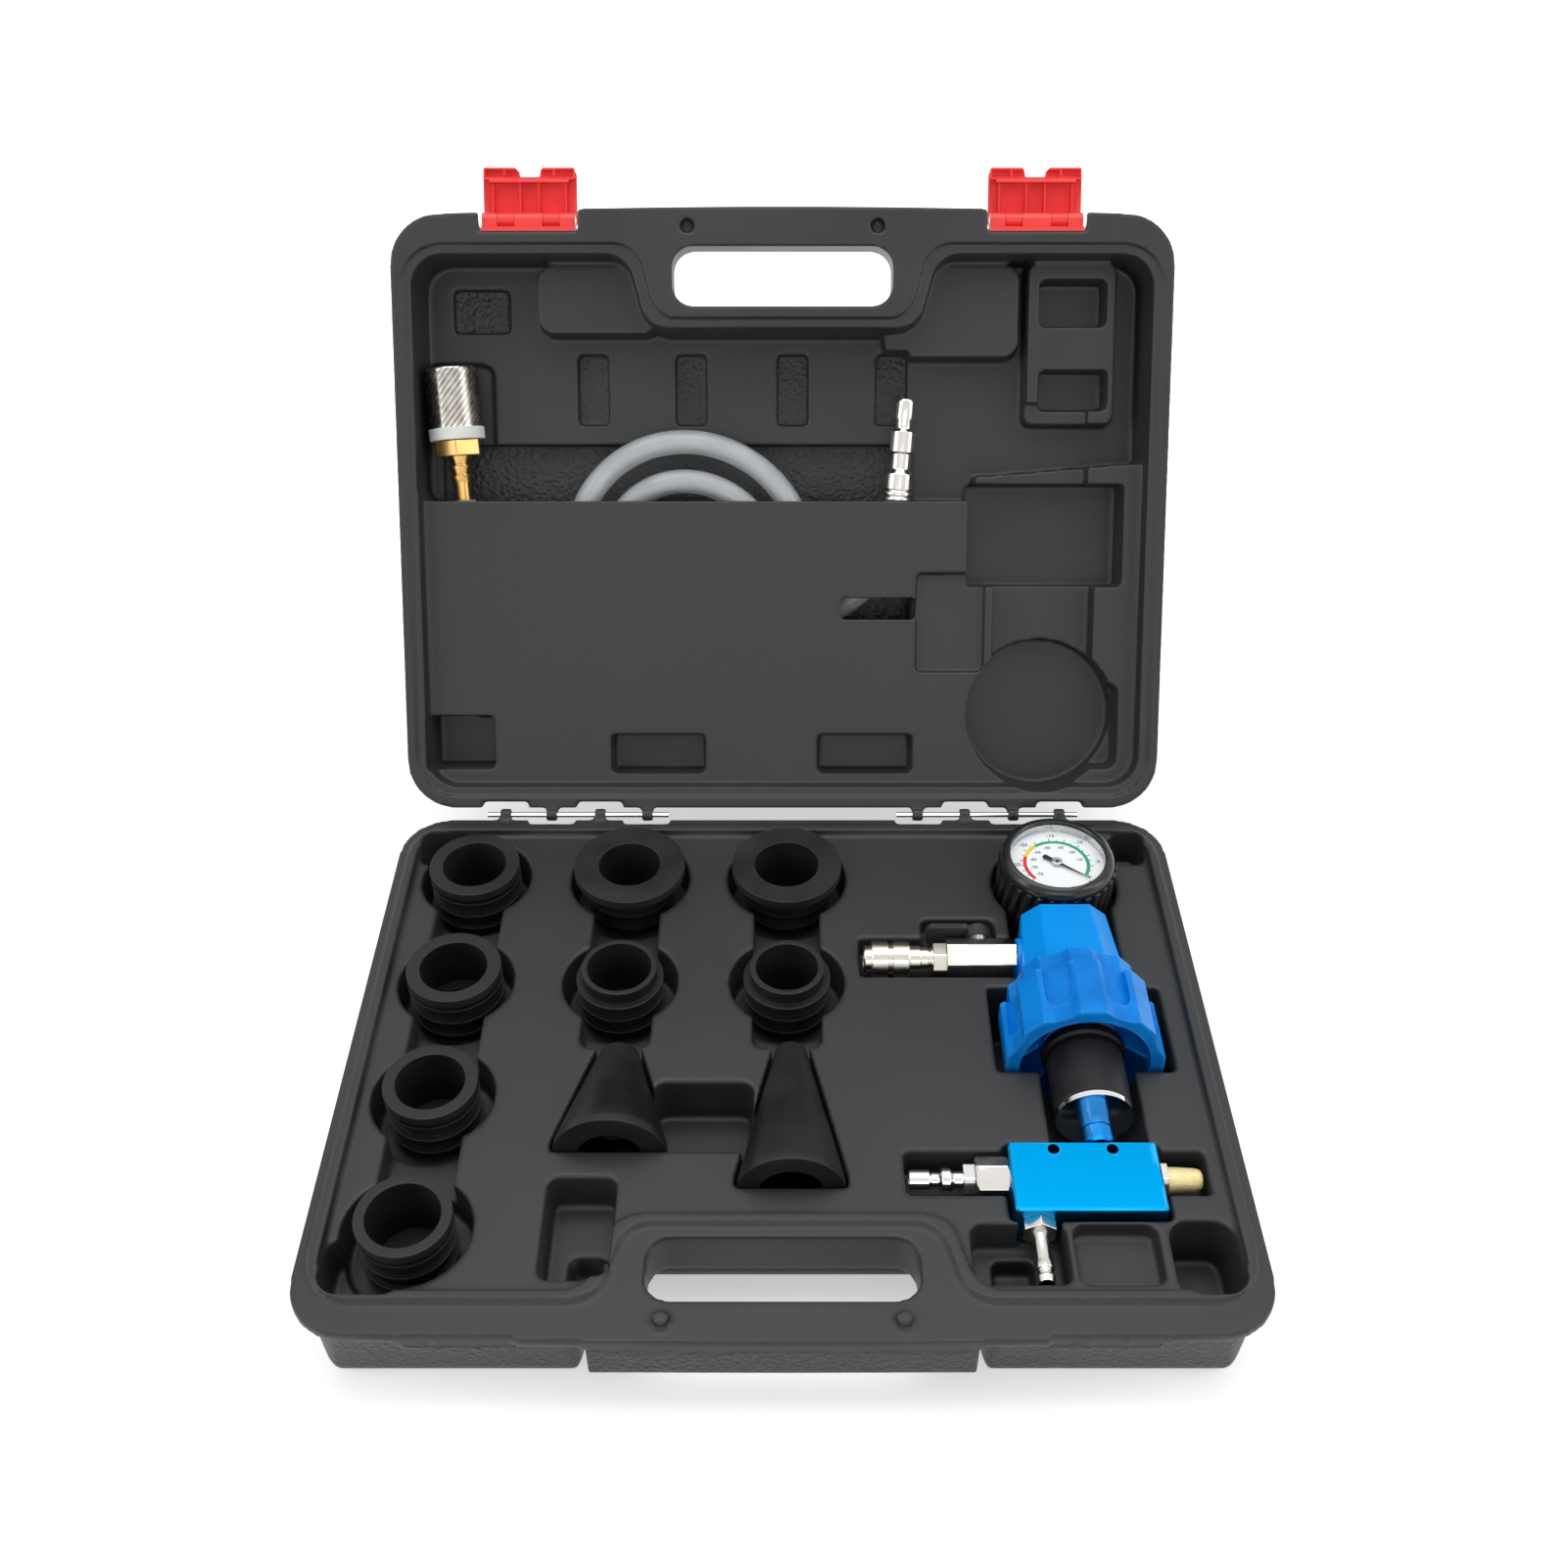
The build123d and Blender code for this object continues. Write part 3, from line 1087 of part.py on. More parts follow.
def make_valve_seats():
    middle = VALVE_L / 2
    ball = Pos(0, 0, middle) * Sphere(BALL_R + BALL_GAP)
    seats = []
    for start in (middle - BALL_R - SEAT_L, middle + BALL_R / 2):
        length = SEAT_L + BALL_R / 2
        seats.append(Pos(0, 0, start) * ring(VALVE_BORE_R, BALL_R + BALL_GAP, length) - ball)
    return seats[0] + seats[1]


def make_valve_ball():
    ball = Sphere(BALL_R) - Pos(0, 0, -BALL_R) * rod(VALVE_BORE_R, 2 * BALL_R)
    return Pos(0, 0, VALVE_L / 2) * (ball - Rot(X=-90) * Pos(0, 0, BALL_R * 3 / 4) * rod(STEM_R, BALL_R))


def make_valve_stem():
    return Pos(0, 0, VALVE_L / 2) * Rot(X=-90) * Pos(0, 0, BALL_R * 3 / 4) * rod(STEM_R, STEM_TOP - BALL_R * 3 / 4)


def make_valve_lever():
    """A flat hand lever with a round hub, a bend beside it and a rounded end."""
    hub = rod(LEVER_HUB_R, LEVER_HUB_L)
    start = LEVER_HUB_R / 2
    plate = Pos((start + LEVER_L) / 2, 0, LEVER_HUB_L / 2) * extrude(
        RectangleRounded(LEVER_L - start, LEVER_H, LEVER_H / 3), LEVER_T)
    lever = hub + plate - rod(STEM_R, LEVER_HUB_L)
    return lever


def lever_frame(shape):
    """Puts a piece made upright about the stem in its place, its X pointing to the coupler."""
    place = Pos(0, STEM_TOP - LEVER_HUB_L, VALVE_L / 2)
    return place * Rot(X=-90) * Rot(Z=-90) * shape


def make_coupler_body():
    """Quick coupler: stub, hexagon, neck and a barrel whose balls hold a plug."""
    length = COUPLER_L
    points = [(0, -COUPLER_STUB), (NIPPLE_R, -COUPLER_STUB), (NIPPLE_R, 0), (COUPLER_NECK_R, 0),
              (COUPLER_NECK_R, COUPLER_HEX_L + COUPLER_NECK_R), (COUPLER_R, COUPLER_HEX_L + COUPLER_NECK_R),
              (COUPLER_R, length - CATCH_BALL_R / 2), (COUPLER_R - CATCH_BALL_R / 2, length), (0, length)]
    body = turned(points) + hexagon(COUPLER_HEX, COUPLER_HEX_L)
    body -= Pos(0, 0, -COUPLER_STUB) * rod(TUBE_BORE_R, length)
    body -= Pos(0, 0, length - COUPLER_SOCKET_L) * rod(COUPLER_SOCKET_R, COUPLER_SOCKET_L)
    for place in ball_places():
        body -= Pos(0, 0, length - CATCH_BALL_AT) * Rot(Z=place) * Rot(Y=90) * rod(CATCH_BALL_R + RUN_GAP, COUPLER_R)
    return body


def ball_places():
    return [i * 360 / BALL_COUNT + BALL_START_DEG for i in range(BALL_COUNT)]


def make_coupler_balls():
    at = COUPLER_R - CATCH_BALL_R
    place = Pos(0, 0, COUPLER_L - CATCH_BALL_AT)
    return Part() + [place * Rot(Z=a) * Pos(at, 0, 0) * Sphere(CATCH_BALL_R) for a in ball_places()]


def make_coupler_sleeve():
    """Sliding sleeve with two gripping bands, hollow inside for its spring."""
    start = COUPLER_L - SLEEVE_FROM_NOSE - SLEEVE_L
    middle = SLEEVE_L / 2
    edge = SLEEVE_GROOVE_D / 2
    w, r = SLEEVE_GROOVE_W / 2, SLEEVE_R
    bore = COUPLER_R + SLEEVE_GAP
    points = [(SPRING_R + SLEEVE_GAP, 0), (r - edge, 0), (r, edge), (r, middle - w), (r - 2 * edge, middle - w),
              (r - 2 * edge, middle + w), (r, middle + w), (r, SLEEVE_L - edge), (r - edge, SLEEVE_L), (bore, SLEEVE_L),
              (bore, SPRING_L), (SPRING_R + SLEEVE_GAP, SPRING_L)]
    return Pos(0, 0, start) * turned(points)


def make_coupler_spring():
    start = COUPLER_L - SLEEVE_FROM_NOSE - SLEEVE_L
    return Pos(0, 0, start) * ring(COUPLER_R + SLEEVE_GAP, SPRING_R, SPRING_L - SLEEVE_GAP)


# ---- venturi block ----
AIR_PLUG_POINT_SHARES = (
    (1.0, 0.0), (1.0, 0.30), (0.78, 0.34), (0.78, 0.44), (1.16, 0.50), (1.16, 0.62), (0.86, 0.68), (0.86, 0.82), (1.3, 0.82),
    (1.3, 1.0),
)
SILENCER_POINT_SHARES = ((0.96, 0.0), (1.0, 0.05), (0.92, 0.55), (0.62, 0.92), (0.3, 1.0))
VACUUM_POINT_SHARES = ((1.0, 0.0), (0.84, 0.12), (0.84, 0.55), (1.0, 0.60), (1.0, 0.72), (0.8, 0.75), (0.8, 0.84), (1.0, 0.88),
                       (0.86, 1.0))


def block_place():
    return Pos(BLOCK_X, -BLOCK_Q - BLOCK_L / 2, BLOCK_UP - BLOCK_T / 2)


def make_venturi_block():
    block = Box(BLOCK_W, BLOCK_L, BLOCK_T)
    block = chamfer(block.edges(), BLOCK_EDGE)
    for way in (-1, 1):
        block -= Pos(way * BOLT_SPACING / 2, BLOCK_L / 2 - BOLT_BACK, -BLOCK_T / 2) * rod(BOLT_R, BLOCK_T)
    port_y, port_z = BLOCK_L / 2 - PORT_BACK, BLOCK_T / 2 - PORT_DOWN
    left = Pos(-BLOCK_W / 2, port_y, port_z) * Rot(Y=90)
    block -= left * rod(PORT_R, NOZZLE_L)
    block -= left * rod(THROAT_R, BLOCK_W)
    block -= left * Pos(0, 0, BLOCK_W - SILENCER_STUB) * rod(DIFFUSER_R, SILENCER_STUB)
    vacuum = Pos(VACUUM_FROM_END - BLOCK_W / 2, -BLOCK_L / 2, port_z) * Rot(X=-90)
    block -= vacuum * rod(VACUUM_PORT_R, VACUUM_STUB)
    block -= vacuum * rod(THROAT_R, BLOCK_L - PORT_BACK)
    return block_place() * block


def from_port(shape, out, left=True):
    """Places a piece made upright at the block's side port, running outward."""
    way = -1 if left else 1
    q = BLOCK_Q + PORT_BACK
    return Pos(BLOCK_X + way * (BLOCK_W / 2 + out), -q, BLOCK_UP - PORT_DOWN) * Rot(Y=way * 90) * shape


def make_nozzle():
    """Brass jet inside the block; its cone ends short of the throat."""
    solid = NOZZLE_L - ADAPTER_STUB - THROAT_R
    points = [(NOZZLE_BORE_R * 2, 0), (PORT_R, 0), (PORT_R, -solid / 6), (NOZZLE_TIP_R, -solid / 4),
              (NOZZLE_BORE_R * 3 / 2, -solid), (NOZZLE_BORE_R, -solid)]
    return from_port(turned(points), -ADAPTER_STUB)


def make_plug_adapter():
    nut = hexagon(ADAPTER_HEX, ADAPTER_HEX_L)
    nut &= turned([(0, 0), (ADAPTER_HEX / 2, 0), (ADAPTER_HEX * 3 / 5, ADAPTER_HEX_L / 8),
                   (ADAPTER_HEX * 3 / 5, ADAPTER_HEX_L * 7 / 8), (ADAPTER_HEX / 2, ADAPTER_HEX_L), (0, ADAPTER_HEX_L)])
    nut += Pos(0, 0, -ADAPTER_STUB) * rod(PORT_R, ADAPTER_STUB)
    nut -= Pos(0, 0, -ADAPTER_STUB) * rod(TUBE_BORE_R, ADAPTER_STUB + ADAPTER_HEX_L)
    nut -= Pos(0, 0, ADAPTER_HEX_L - AIR_PLUG_STUB) * rod(AIR_PLUG_R, AIR_PLUG_STUB)
    return from_port(nut, 0)


def make_air_plug():
    plug = turned_shares(AIR_PLUG_R, -AIR_PLUG_L, AIR_PLUG_POINT_SHARES)
    plug = Pos(0, 0, AIR_PLUG_L) * plug
    plug += hexagon(AIR_PLUG_HEX, AIR_PLUG_HEX_L)
    plug += Pos(0, 0, -AIR_PLUG_STUB) * rod(AIR_PLUG_R, AIR_PLUG_STUB)
    plug -= Pos(0, 0, -AIR_PLUG_STUB) * rod(TUBE_BORE_R, AIR_PLUG_L + AIR_PLUG_STUB)
    return from_port(plug, ADAPTER_HEX_L)


def make_silencer_hex():
    nut = hexagon(SILENCER_HEX, SILENCER_HEX_L) + Pos(0, 0, -SILENCER_STUB) * rod(DIFFUSER_R, SILENCER_STUB)
    return from_port(nut - Pos(0, 0, -SILENCER_STUB) * rod(TUBE_BORE_R, SILENCER_STUB + SILENCER_HEX_L), 0, False)


def make_silencer():
    return from_port(turned_shares(SILENCER_R, SILENCER_L, SILENCER_POINT_SHARES), SILENCER_HEX_L, False)


def make_vacuum_plug():
    plug = hexagon(VACUUM_HEX, VACUUM_HEX_L)
    plug += Pos(0, 0, VACUUM_HEX_L) * turned_shares(VACUUM_R, VACUUM_L, VACUUM_POINT_SHARES)
    plug += Pos(0, 0, -VACUUM_STUB) * rod(VACUUM_PORT_R, VACUUM_STUB)
    plug -= Pos(0, 0, -VACUUM_STUB) * rod(TUBE_BORE_R, VACUUM_STUB + VACUUM_HEX_L + VACUUM_L)
    x = BLOCK_X - BLOCK_W / 2 + VACUUM_FROM_END
    return forward(plug, BLOCK_Q + BLOCK_L, x, PORT_DOWN - BLOCK_UP)


# ---- hose, in the lid's frame ----
def hose_tube(path):
    start = Plane(origin=path @ 0, z_dir=path % 0)
    outer = sweep(start * Circle(HOSE_R), path=path)
    inner = sweep(start * Circle(HOSE_BORE_R), path=path)
    return outer - inner


def coil_radii():
    """Radii of the four half turns; each pair steps in from the one outside it."""
    top = COIL_BOTTOM + 2 * COIL_R
    second = (top - COIL_BOTTOM - COIL_STEP) / 2
    third = (COIL_INNER_TOP - COIL_BOTTOM - COIL_STEP) / 2
    fourth = (COIL_INNER_TOP - COIL_BOTTOM - 2 * COIL_STEP) / 2
    return [COIL_R, second, third, fourth]


def coil_turns():
    """Ends of the four half turns: across, forward and deep; the last one goes down a layer."""
    q, way = COIL_BOTTOM, 1
    turns = []
    for i, radius in enumerate(coil_radii()):
        down = COIL_CLIMB if i == 3 else 0
        end = q + way * 2 * radius
        turns.append((way * radius, q, end, down))
        q, way = end, -way
    return turns


def coil_path():
    """Two turns, from the bottom of the outer one to the bottom of the inner one, under it."""
    edges = [Line((COIL_X - 2 * HOSE_R, -COIL_BOTTOM, HOSE_D), (COIL_X, -COIL_BOTTOM, HOSE_D))]
    for bulge, q, end, down in coil_turns():
        middle = (COIL_X + bulge, -(q + end) / 2, HOSE_D + down / 2)
        edges.append(ThreePointArc((COIL_X, -q, HOSE_D), middle, (COIL_X, -end, HOSE_D + down)))
    last = (COIL_X, -end, HOSE_D + down)
    edges.append(Line(last, (COIL_X + 2 * HOSE_R, -end, HOSE_D + down)))
    return Wire(edges)


def report_coil():
    """Prints the half turns' radii and the least gap between the two turns."""
    points = []
    for bulge, q, end, down in coil_turns():
        for step in range(COIL_STEPS):
            a = math.pi * step / COIL_STEPS
            share = (1 - math.cos(a)) / 2
            points.append((COIL_X + bulge * math.sin(a), q + (end - q) * share, down * share))
    least = min(math.dist(p, r) for i, p in enumerate(points) for r in points[i + COIL_STEPS:])
    print("coil radii", [round(r, 1) for r in coil_radii()], "least gap", round(least - 2 * HOSE_R, 2))


def routed(points):
    """A tube's path: straight runs joined by arcs as large as their two runs allow."""
    radii = []
    for a, b, c in zip(points, points[1:], points[2:]):
        before, after = Vector(b) - Vector(a), Vector(c) - Vector(b)
        turn = math.radians(before.get_angle(after))
        radii.append(ROUTE_ARC_SHARE * min(before.length, after.length) / math.tan(turn / 2))
    print("tail radii", [round(r, 1) for r in radii])
    return Wire(FilletPolyline(*points, radius=radii).edges())


def strainer_axis():
    tilt = math.radians(STRAINER_TILT_DEG)
    return Vector(STRAINER_X, -STRAINER_Q, HOSE_D + STRAINER_DOWN), Vector(-math.sin(tilt), -math.cos(tilt), 0)


def plug_axis():
    tilt = math.radians(PLUG_TILT_DEG)
    return Vector(PLUG_X, -PLUG_Q, HOSE_D), Vector(math.sin(tilt), -math.cos(tilt), 0)


# the hose's free stretches, from the strainer and from the plug to the coil, chosen points
STRAINER_TAIL = (
    (-157.5, 112.0, 1.4), (-144.0, 89.0, 0.6), (-122.0, 72.0, 0.0), (-94.0, 62.0, 0.0),
)
PLUG_TAIL = (
    (-18.0, 89.2, 12.8), (10.0, 94.0, 12.8), (38.0, 107.5, 9.5),
)
HOSE_END_RUN = 28.0


def tail_point(place):
    x, q, d = place
    return (x, -q, HOSE_D + d)


def make_strainer_tail():
    start, way = strainer_axis()
    end = (COIL_X - 2 * HOSE_R, -COIL_BOTTOM, HOSE_D)
    near = start - way * HOSE_END_RUN
    return hose_tube(routed([tuple(start), tuple(near)] + [tail_point(p) for p in STRAINER_TAIL] + [end]))


def make_plug_tail():
    start, way = plug_axis()
    q = COIL_BOTTOM + 2 * COIL_STEP
    first = (COIL_X + 2 * HOSE_R, -q, HOSE_D + COIL_CLIMB)
    near = start - way * HOSE_END_RUN
    return hose_tube(routed([first] + [tail_point(p) for p in PLUG_TAIL] + [tuple(near), tuple(start)]))


def on_hose(shape, axis, out):
    """Places a piece made upright on a hose end, a distance out along the end's axis."""
    start, way = axis
    return Plane(origin=start + way * out, z_dir=way).location * shape


def make_strainer_barb():
    """The hose barb inside the hose, its hexagon and the thread that carries the strainer."""
    barb = Pos(0, 0, -BARB_L / 2) * rod(BARB_R, BARB_L * 3 / 2) + Pos(0, 0, BARB_L) * hexagon(STRAINER_HEX, STRAINER_HEX_L)
    barb += Pos(0, 0, BARB_L + STRAINER_HEX_L) * rod(COLLAR_R - 2 * STRAINER_WALL, COLLAR_L)
    for share in (1.0, 0.78, 0.56):
        barb += Pos(0, 0, share * BARB_L - BARB_R) * turned([(0, 0), (BARB_R, 0), (HOSE_R, BARB_R), (0, BARB_R)])
    barb -= Pos(0, 0, -BARB_L / 2) * rod(BARB_BORE_R, 2 * BARB_L + STRAINER_HEX_L + COLLAR_L)
    return on_hose(barb, strainer_axis(), 0)


def make_strainer_collar():
    return on_hose(ring(COLLAR_R - 2 * STRAINER_WALL, COLLAR_R, COLLAR_L), strainer_axis(), BARB_L + STRAINER_HEX_L)


def make_strainer_mesh():
    """A tube of wire cloth closed by a cap."""
    length = STRAINER_L
    wall = STRAINER_WALL
    r = STRAINER_R
    points = [(r - wall, 0), (r, 0), (r, length - wall), (r - wall, length), (0, length), (0, length - wall * 2),
              (r - wall, length - wall * 2)]
    return on_hose(turned(points), strainer_axis(), BARB_L + STRAINER_HEX_L + COLLAR_L)


HOSE_PLUG_POINT_SHARES = (
    (0.55, -0.2), (0.55, 0.0), (1.0, 0.0), (1.0, 0.26), (0.74, 0.31), (0.74, 0.46), (0.89, 0.48), (0.89, 0.68), (0.56, 0.71), (0.56, 0.79),
    (0.68, 0.82), (0.68, 0.97), (0.6, 1.0),
)


def make_hose_plug():
    plug = turned_shares(PLUG_BODY_R, PLUG_L, HOSE_PLUG_POINT_SHARES, PLUG_BORE_R)
    return on_hose(plug, plug_axis(), 0)


# ---- assembly ----
def in_base(shape):
    return Pos(0, HINGE_Y, HALF_DEPTH) * shape


def in_lid(shape):
    return Pos(0, HINGE_Y, HALF_DEPTH) * Rot(X=-LID_OPEN_DEG) * shape


def at_latch(shape, way):
    return in_lid(Pos(way * across(LATCH_SHARE), -LATCH_Q, LATCH_D) * shape)


def valve_line(shape, along=0.0):
    return in_base(leftward(shape, HEAD_X - VALVE_FROM_HEAD - along))


def case_nodes():
    outer, left, right = [in_base(s) for s in skins(make_case_base(), -1, across(BASE_SPLIT_SHARE))]
    nodes = {"case_base": outer, "case_base_inner_left": left, "case_base_inner_right": right}
    outer, left, right = [in_lid(s) for s in skins(make_case_lid(), 1, across(LID_SPLIT_SHARE))]
    nodes.update({"case_lid": outer, "case_lid_inner_left": left, "case_lid_inner_right": right})
    nodes["hinge_pins"] = in_base(make_hinge_pin(-1) + make_hinge_pin(1))
    nodes["latch_mounts"] = at_latch(make_latch_mount(), -1) + at_latch(make_latch_mount(), 1)
    nodes["latch_pins"] = at_latch(make_latch_pin(), -1) + at_latch(make_latch_pin(), 1)
    nodes["latch_left"] = at_latch(make_latch(), -1)
    nodes["latch_right"] = at_latch(make_latch(), 1)
    return nodes


def head_nodes():
    return {
        "head_body": in_base(make_head_body()),
        "head_knob": in_base(make_head_knob()),
        "head_stem_tube": in_base(make_stem_tube()),
        "knob_washer": in_base(forward(ring(TUBE_R + RUN_GAP * 4, THRUST_R, THRUST_T), THRUST_Q)),
        "expander_rubber": in_base(make_rubber()),
        "expander_washer": in_base(forward(ring(TUBE_R, END_WASHER_R, END_WASHER_T), END_WASHER_Q)),
        "expander_nut": in_base(make_expander_nut()),
        "gauge_boot": in_base(at_gauge(make_gauge_boot())),
        "gauge_case": in_base(at_gauge(make_gauge_case())),
        "gauge_dial": in_base(at_gauge(make_gauge_dial())),
        "gauge_needle": in_base(at_gauge(make_needle())),
        "gauge_lens": in_base(at_gauge(make_gauge_lens())),
        "gauge_stem": in_base(at_gauge(make_gauge_stem())),
        "bourdon_tube": in_base(at_gauge(make_bourdon())),
    }


def make_gauge_dial():
    return Pos(0, 0, gauge_levels()[2] - DIAL_T) * ring(ARBOR_R + SEAT, DIAL_R, DIAL_T)


def make_gauge_lens():
    return Pos(0, 0, gauge_levels()[1] - LENS_T) * rod(DIAL_R, LENS_T)


def valve_nodes():
    reach = VALVE_L
    screw = Pos(0, 0, LEVER_HUB_L) * (rod(SCREW_HEAD_R, SCREW_HEAD_T) - Pos(0, 0, SCREW_HEAD_T / 2) * hexagon(
        SCREW_HEAD_R, SCREW_HEAD_T))
    nipple = ring(TUBE_BORE_R, NIPPLE_R, NIPPLE_L)
    return {
        "valve_body": valve_line(make_valve_body()),
        "valve_ball": valve_line(make_valve_ball()),
        "valve_seats": valve_line(make_valve_seats()),
        "valve_stem": valve_line(make_valve_stem()),
        "valve_lever": valve_line(lever_frame(make_valve_lever())),
        "valve_lever_screw": valve_line(lever_frame(screw)),
        "valve_nipple": valve_line(nipple, NIPPLE_IN - NIPPLE_L),
        "coupler_body": valve_line(make_coupler_body(), reach),
        "coupler_sleeve": valve_line(make_coupler_sleeve(), reach),
        "coupler_balls": valve_line(make_coupler_balls(), reach),
        "coupler_spring": valve_line(make_coupler_spring(), reach),
    }


def block_nodes():
    return {
        "venturi_block": in_base(make_venturi_block()),
        "venturi_nozzle": in_base(make_nozzle()),
        "air_plug": in_base(make_air_plug()),
        "air_plug_adapter": in_base(make_plug_adapter()),
        "vacuum_plug": in_base(make_vacuum_plug()),
        "silencer_hex": in_base(make_silencer_hex()),
        "silencer": in_base(make_silencer()),
    }


def hose_nodes():
    report_coil()
    return {
        "hose_coil": in_lid(hose_tube(coil_path())),
        "hose_tail_strainer": in_lid(make_strainer_tail()),
        "hose_tail_plug": in_lid(make_plug_tail()),
        "strainer_mesh": in_lid(make_strainer_mesh()),
        "strainer_collar": in_lid(make_strainer_collar()),
        "strainer_nut_barb": in_lid(make_strainer_barb()),
        "hose_plug": in_lid(make_hose_plug()),
    }


def loose_nodes():
    nodes = {name: in_base(solid) for name, solid in make_adapters().items()}
    short = make_cone(CONE_SHORT_L, CONE_SHORT_R, CONE_SHORT_TIP_R)
    long = make_cone(CONE_LONG_L, CONE_LONG_R, CONE_LONG_TIP_R)
    nodes["cone_short"] = in_base(forward(short, CONE_SHORT_Q, across(CONE_SHORT_X_SHARE), CONE_DOWN))
    nodes["cone_long"] = in_base(forward(long, CONE_LONG_Q, across(CONE_LONG_X_SHARE), CONE_DOWN))
    return nodes


def main():
    os.makedirs("parts", exist_ok=True)
    nodes = {}
    for group in (case_nodes(), loose_nodes(), head_nodes(), valve_nodes(), block_nodes(), hose_nodes()):
        nodes.update(group)
    for name, shape in nodes.items():
        export_step(shape, "parts/%s.step" % name)


main()
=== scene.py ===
import math
import bmesh
import bpy
from mathutils import Matrix, Vector


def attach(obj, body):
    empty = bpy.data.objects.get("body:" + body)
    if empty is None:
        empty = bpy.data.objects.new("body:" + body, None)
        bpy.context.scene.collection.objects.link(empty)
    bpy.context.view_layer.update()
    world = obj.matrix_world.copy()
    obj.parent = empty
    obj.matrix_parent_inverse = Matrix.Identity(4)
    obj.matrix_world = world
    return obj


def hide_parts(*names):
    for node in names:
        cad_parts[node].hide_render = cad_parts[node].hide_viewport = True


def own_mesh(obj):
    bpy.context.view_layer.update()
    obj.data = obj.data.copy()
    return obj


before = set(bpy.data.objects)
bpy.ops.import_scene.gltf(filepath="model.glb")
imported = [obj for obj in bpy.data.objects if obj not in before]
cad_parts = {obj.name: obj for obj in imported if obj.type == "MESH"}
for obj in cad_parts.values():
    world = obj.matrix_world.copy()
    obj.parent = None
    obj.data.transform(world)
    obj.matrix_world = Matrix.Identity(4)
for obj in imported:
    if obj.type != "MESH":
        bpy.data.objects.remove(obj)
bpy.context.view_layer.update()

scene = bpy.context.scene
scene.view_settings.view_transform = "Standard"

# ---- the studio ----
# A long lens looks down on the open case from the front, as in the photograph.
# The ground is pale and turns to pure white away from the case.
CAMERA_PLACE, CAMERA_TILT = (0.0, -0.4857, 0.60753), math.radians(49.5)
CAMERA_LENS, CAMERA_SHIFT = 38.226, 0.00094
camera_data = bpy.data.cameras.new("camera")
camera_data.lens = CAMERA_LENS
camera_data.sensor_width = 36.0
camera_data.shift_x = CAMERA_SHIFT
camera = bpy.data.objects.new("camera", camera_data)
camera.location = CAMERA_PLACE
camera.rotation_euler = (CAMERA_TILT, 0, 0)
scene.collection.objects.link(camera)
scene.camera = camera

WHITE = (1.0, 1.0, 1.0, 1.0)
AMBIENT = (0.34, 0.35, 0.37, 1.0)
GROUND_COLOUR = (0.93, 0.93, 0.93, 1.0)
GROUND_HALF = 1.6
GROUND_DOWN = 0.0004
GLOW_NEAR, GLOW_FAR = 0.30, 0.62
GLOW_LEAST = 0.48


def wire(tree, source, target):
    """Joins two sockets of a node tree."""
    tree.links.new(source, target)


def add_node(tree, kind, **values):
    """Adds a node and sets its options."""
    node = tree.nodes.new(kind)
    for key, value in values.items():
        setattr(node, key, value)
    return node


def rays_that_see_white(tree, *kinds):
    """One for the kinds of ray that look straight at the background."""
    path = add_node(tree, "ShaderNodeLightPath")
    seen = path.outputs[kinds[0]]
    for kind in kinds[1:]:
        both = add_node(tree, "ShaderNodeMath", operation="MAXIMUM")
        wire(tree, seen, both.inputs[0])
        wire(tree, path.outputs[kind], both.inputs[1])
        seen = both.outputs[0]
    return seen


world = bpy.data.worlds.new("studio")
scene.world = world
world.use_nodes = True
sky_tree = world.node_tree
sky = sky_tree.nodes["Background"]
sky_mix = add_node(sky_tree, "ShaderNodeMix", data_type="RGBA")
sky_mix.inputs["A"].default_value = AMBIENT
sky_mix.inputs["B"].default_value = WHITE
sky_seen = rays_that_see_white(sky_tree, "Is Camera Ray", "Is Glossy Ray", "Is Transmission Ray")
wire(sky_tree, sky_seen, sky_mix.inputs["Factor"])
wire(sky_tree, sky_mix.outputs["Result"], sky.inputs["Color"])
sky.inputs["Strength"].default_value = 1.0

ground_look = bpy.data.materials.new("ground")
ground_look.use_nodes = True
ground_tree = ground_look.node_tree
ground_shader = ground_tree.nodes["Principled BSDF"]
ground_shader.inputs["Base Color"].default_value = GROUND_COLOUR
ground_shader.inputs["Roughness"].default_value = 1.0
ground_shader.inputs["Specular IOR Level"].default_value = 0.0
ground_shader.inputs["Emission Color"].default_value = WHITE
place_node = add_node(ground_tree, "ShaderNodeTexCoord")
far_node = add_node(ground_tree, "ShaderNodeVectorMath", operation="LENGTH")
wire(ground_tree, place_node.outputs["Object"], far_node.inputs[0])
glow = add_node(ground_tree, "ShaderNodeMapRange", interpolation_type="SMOOTHSTEP")
glow.inputs["From Min"].default_value = GLOW_NEAR
glow.inputs["From Max"].default_value = GLOW_FAR
glow.inputs["To Min"].default_value = GLOW_LEAST
glow.inputs["To Max"].default_value = 1.0
wire(ground_tree, far_node.outputs["Value"], glow.inputs["Value"])
glow_seen = add_node(ground_tree, "ShaderNodeMath", operation="MULTIPLY")
wire(ground_tree, glow.outputs["Result"], glow_seen.inputs[0])
ground_seen = rays_that_see_white(ground_tree, "Is Camera Ray", "Is Glossy Ray")
wire(ground_tree, ground_seen, glow_seen.inputs[1])
wire(ground_tree, glow_seen.outputs[0], ground_shader.inputs["Emission Strength"])
ground_shape = bmesh.new()
bmesh.ops.create_grid(ground_shape, x_segments=1, y_segments=1, size=GROUND_HALF)
bmesh.ops.translate(ground_shape, verts=ground_shape.verts, vec=(0, 0, -GROUND_DOWN))
ground_mesh = bpy.data.meshes.new("ground")
ground_shape.to_mesh(ground_mesh)
ground_shape.free()
ground_mesh.materials.append(ground_look)
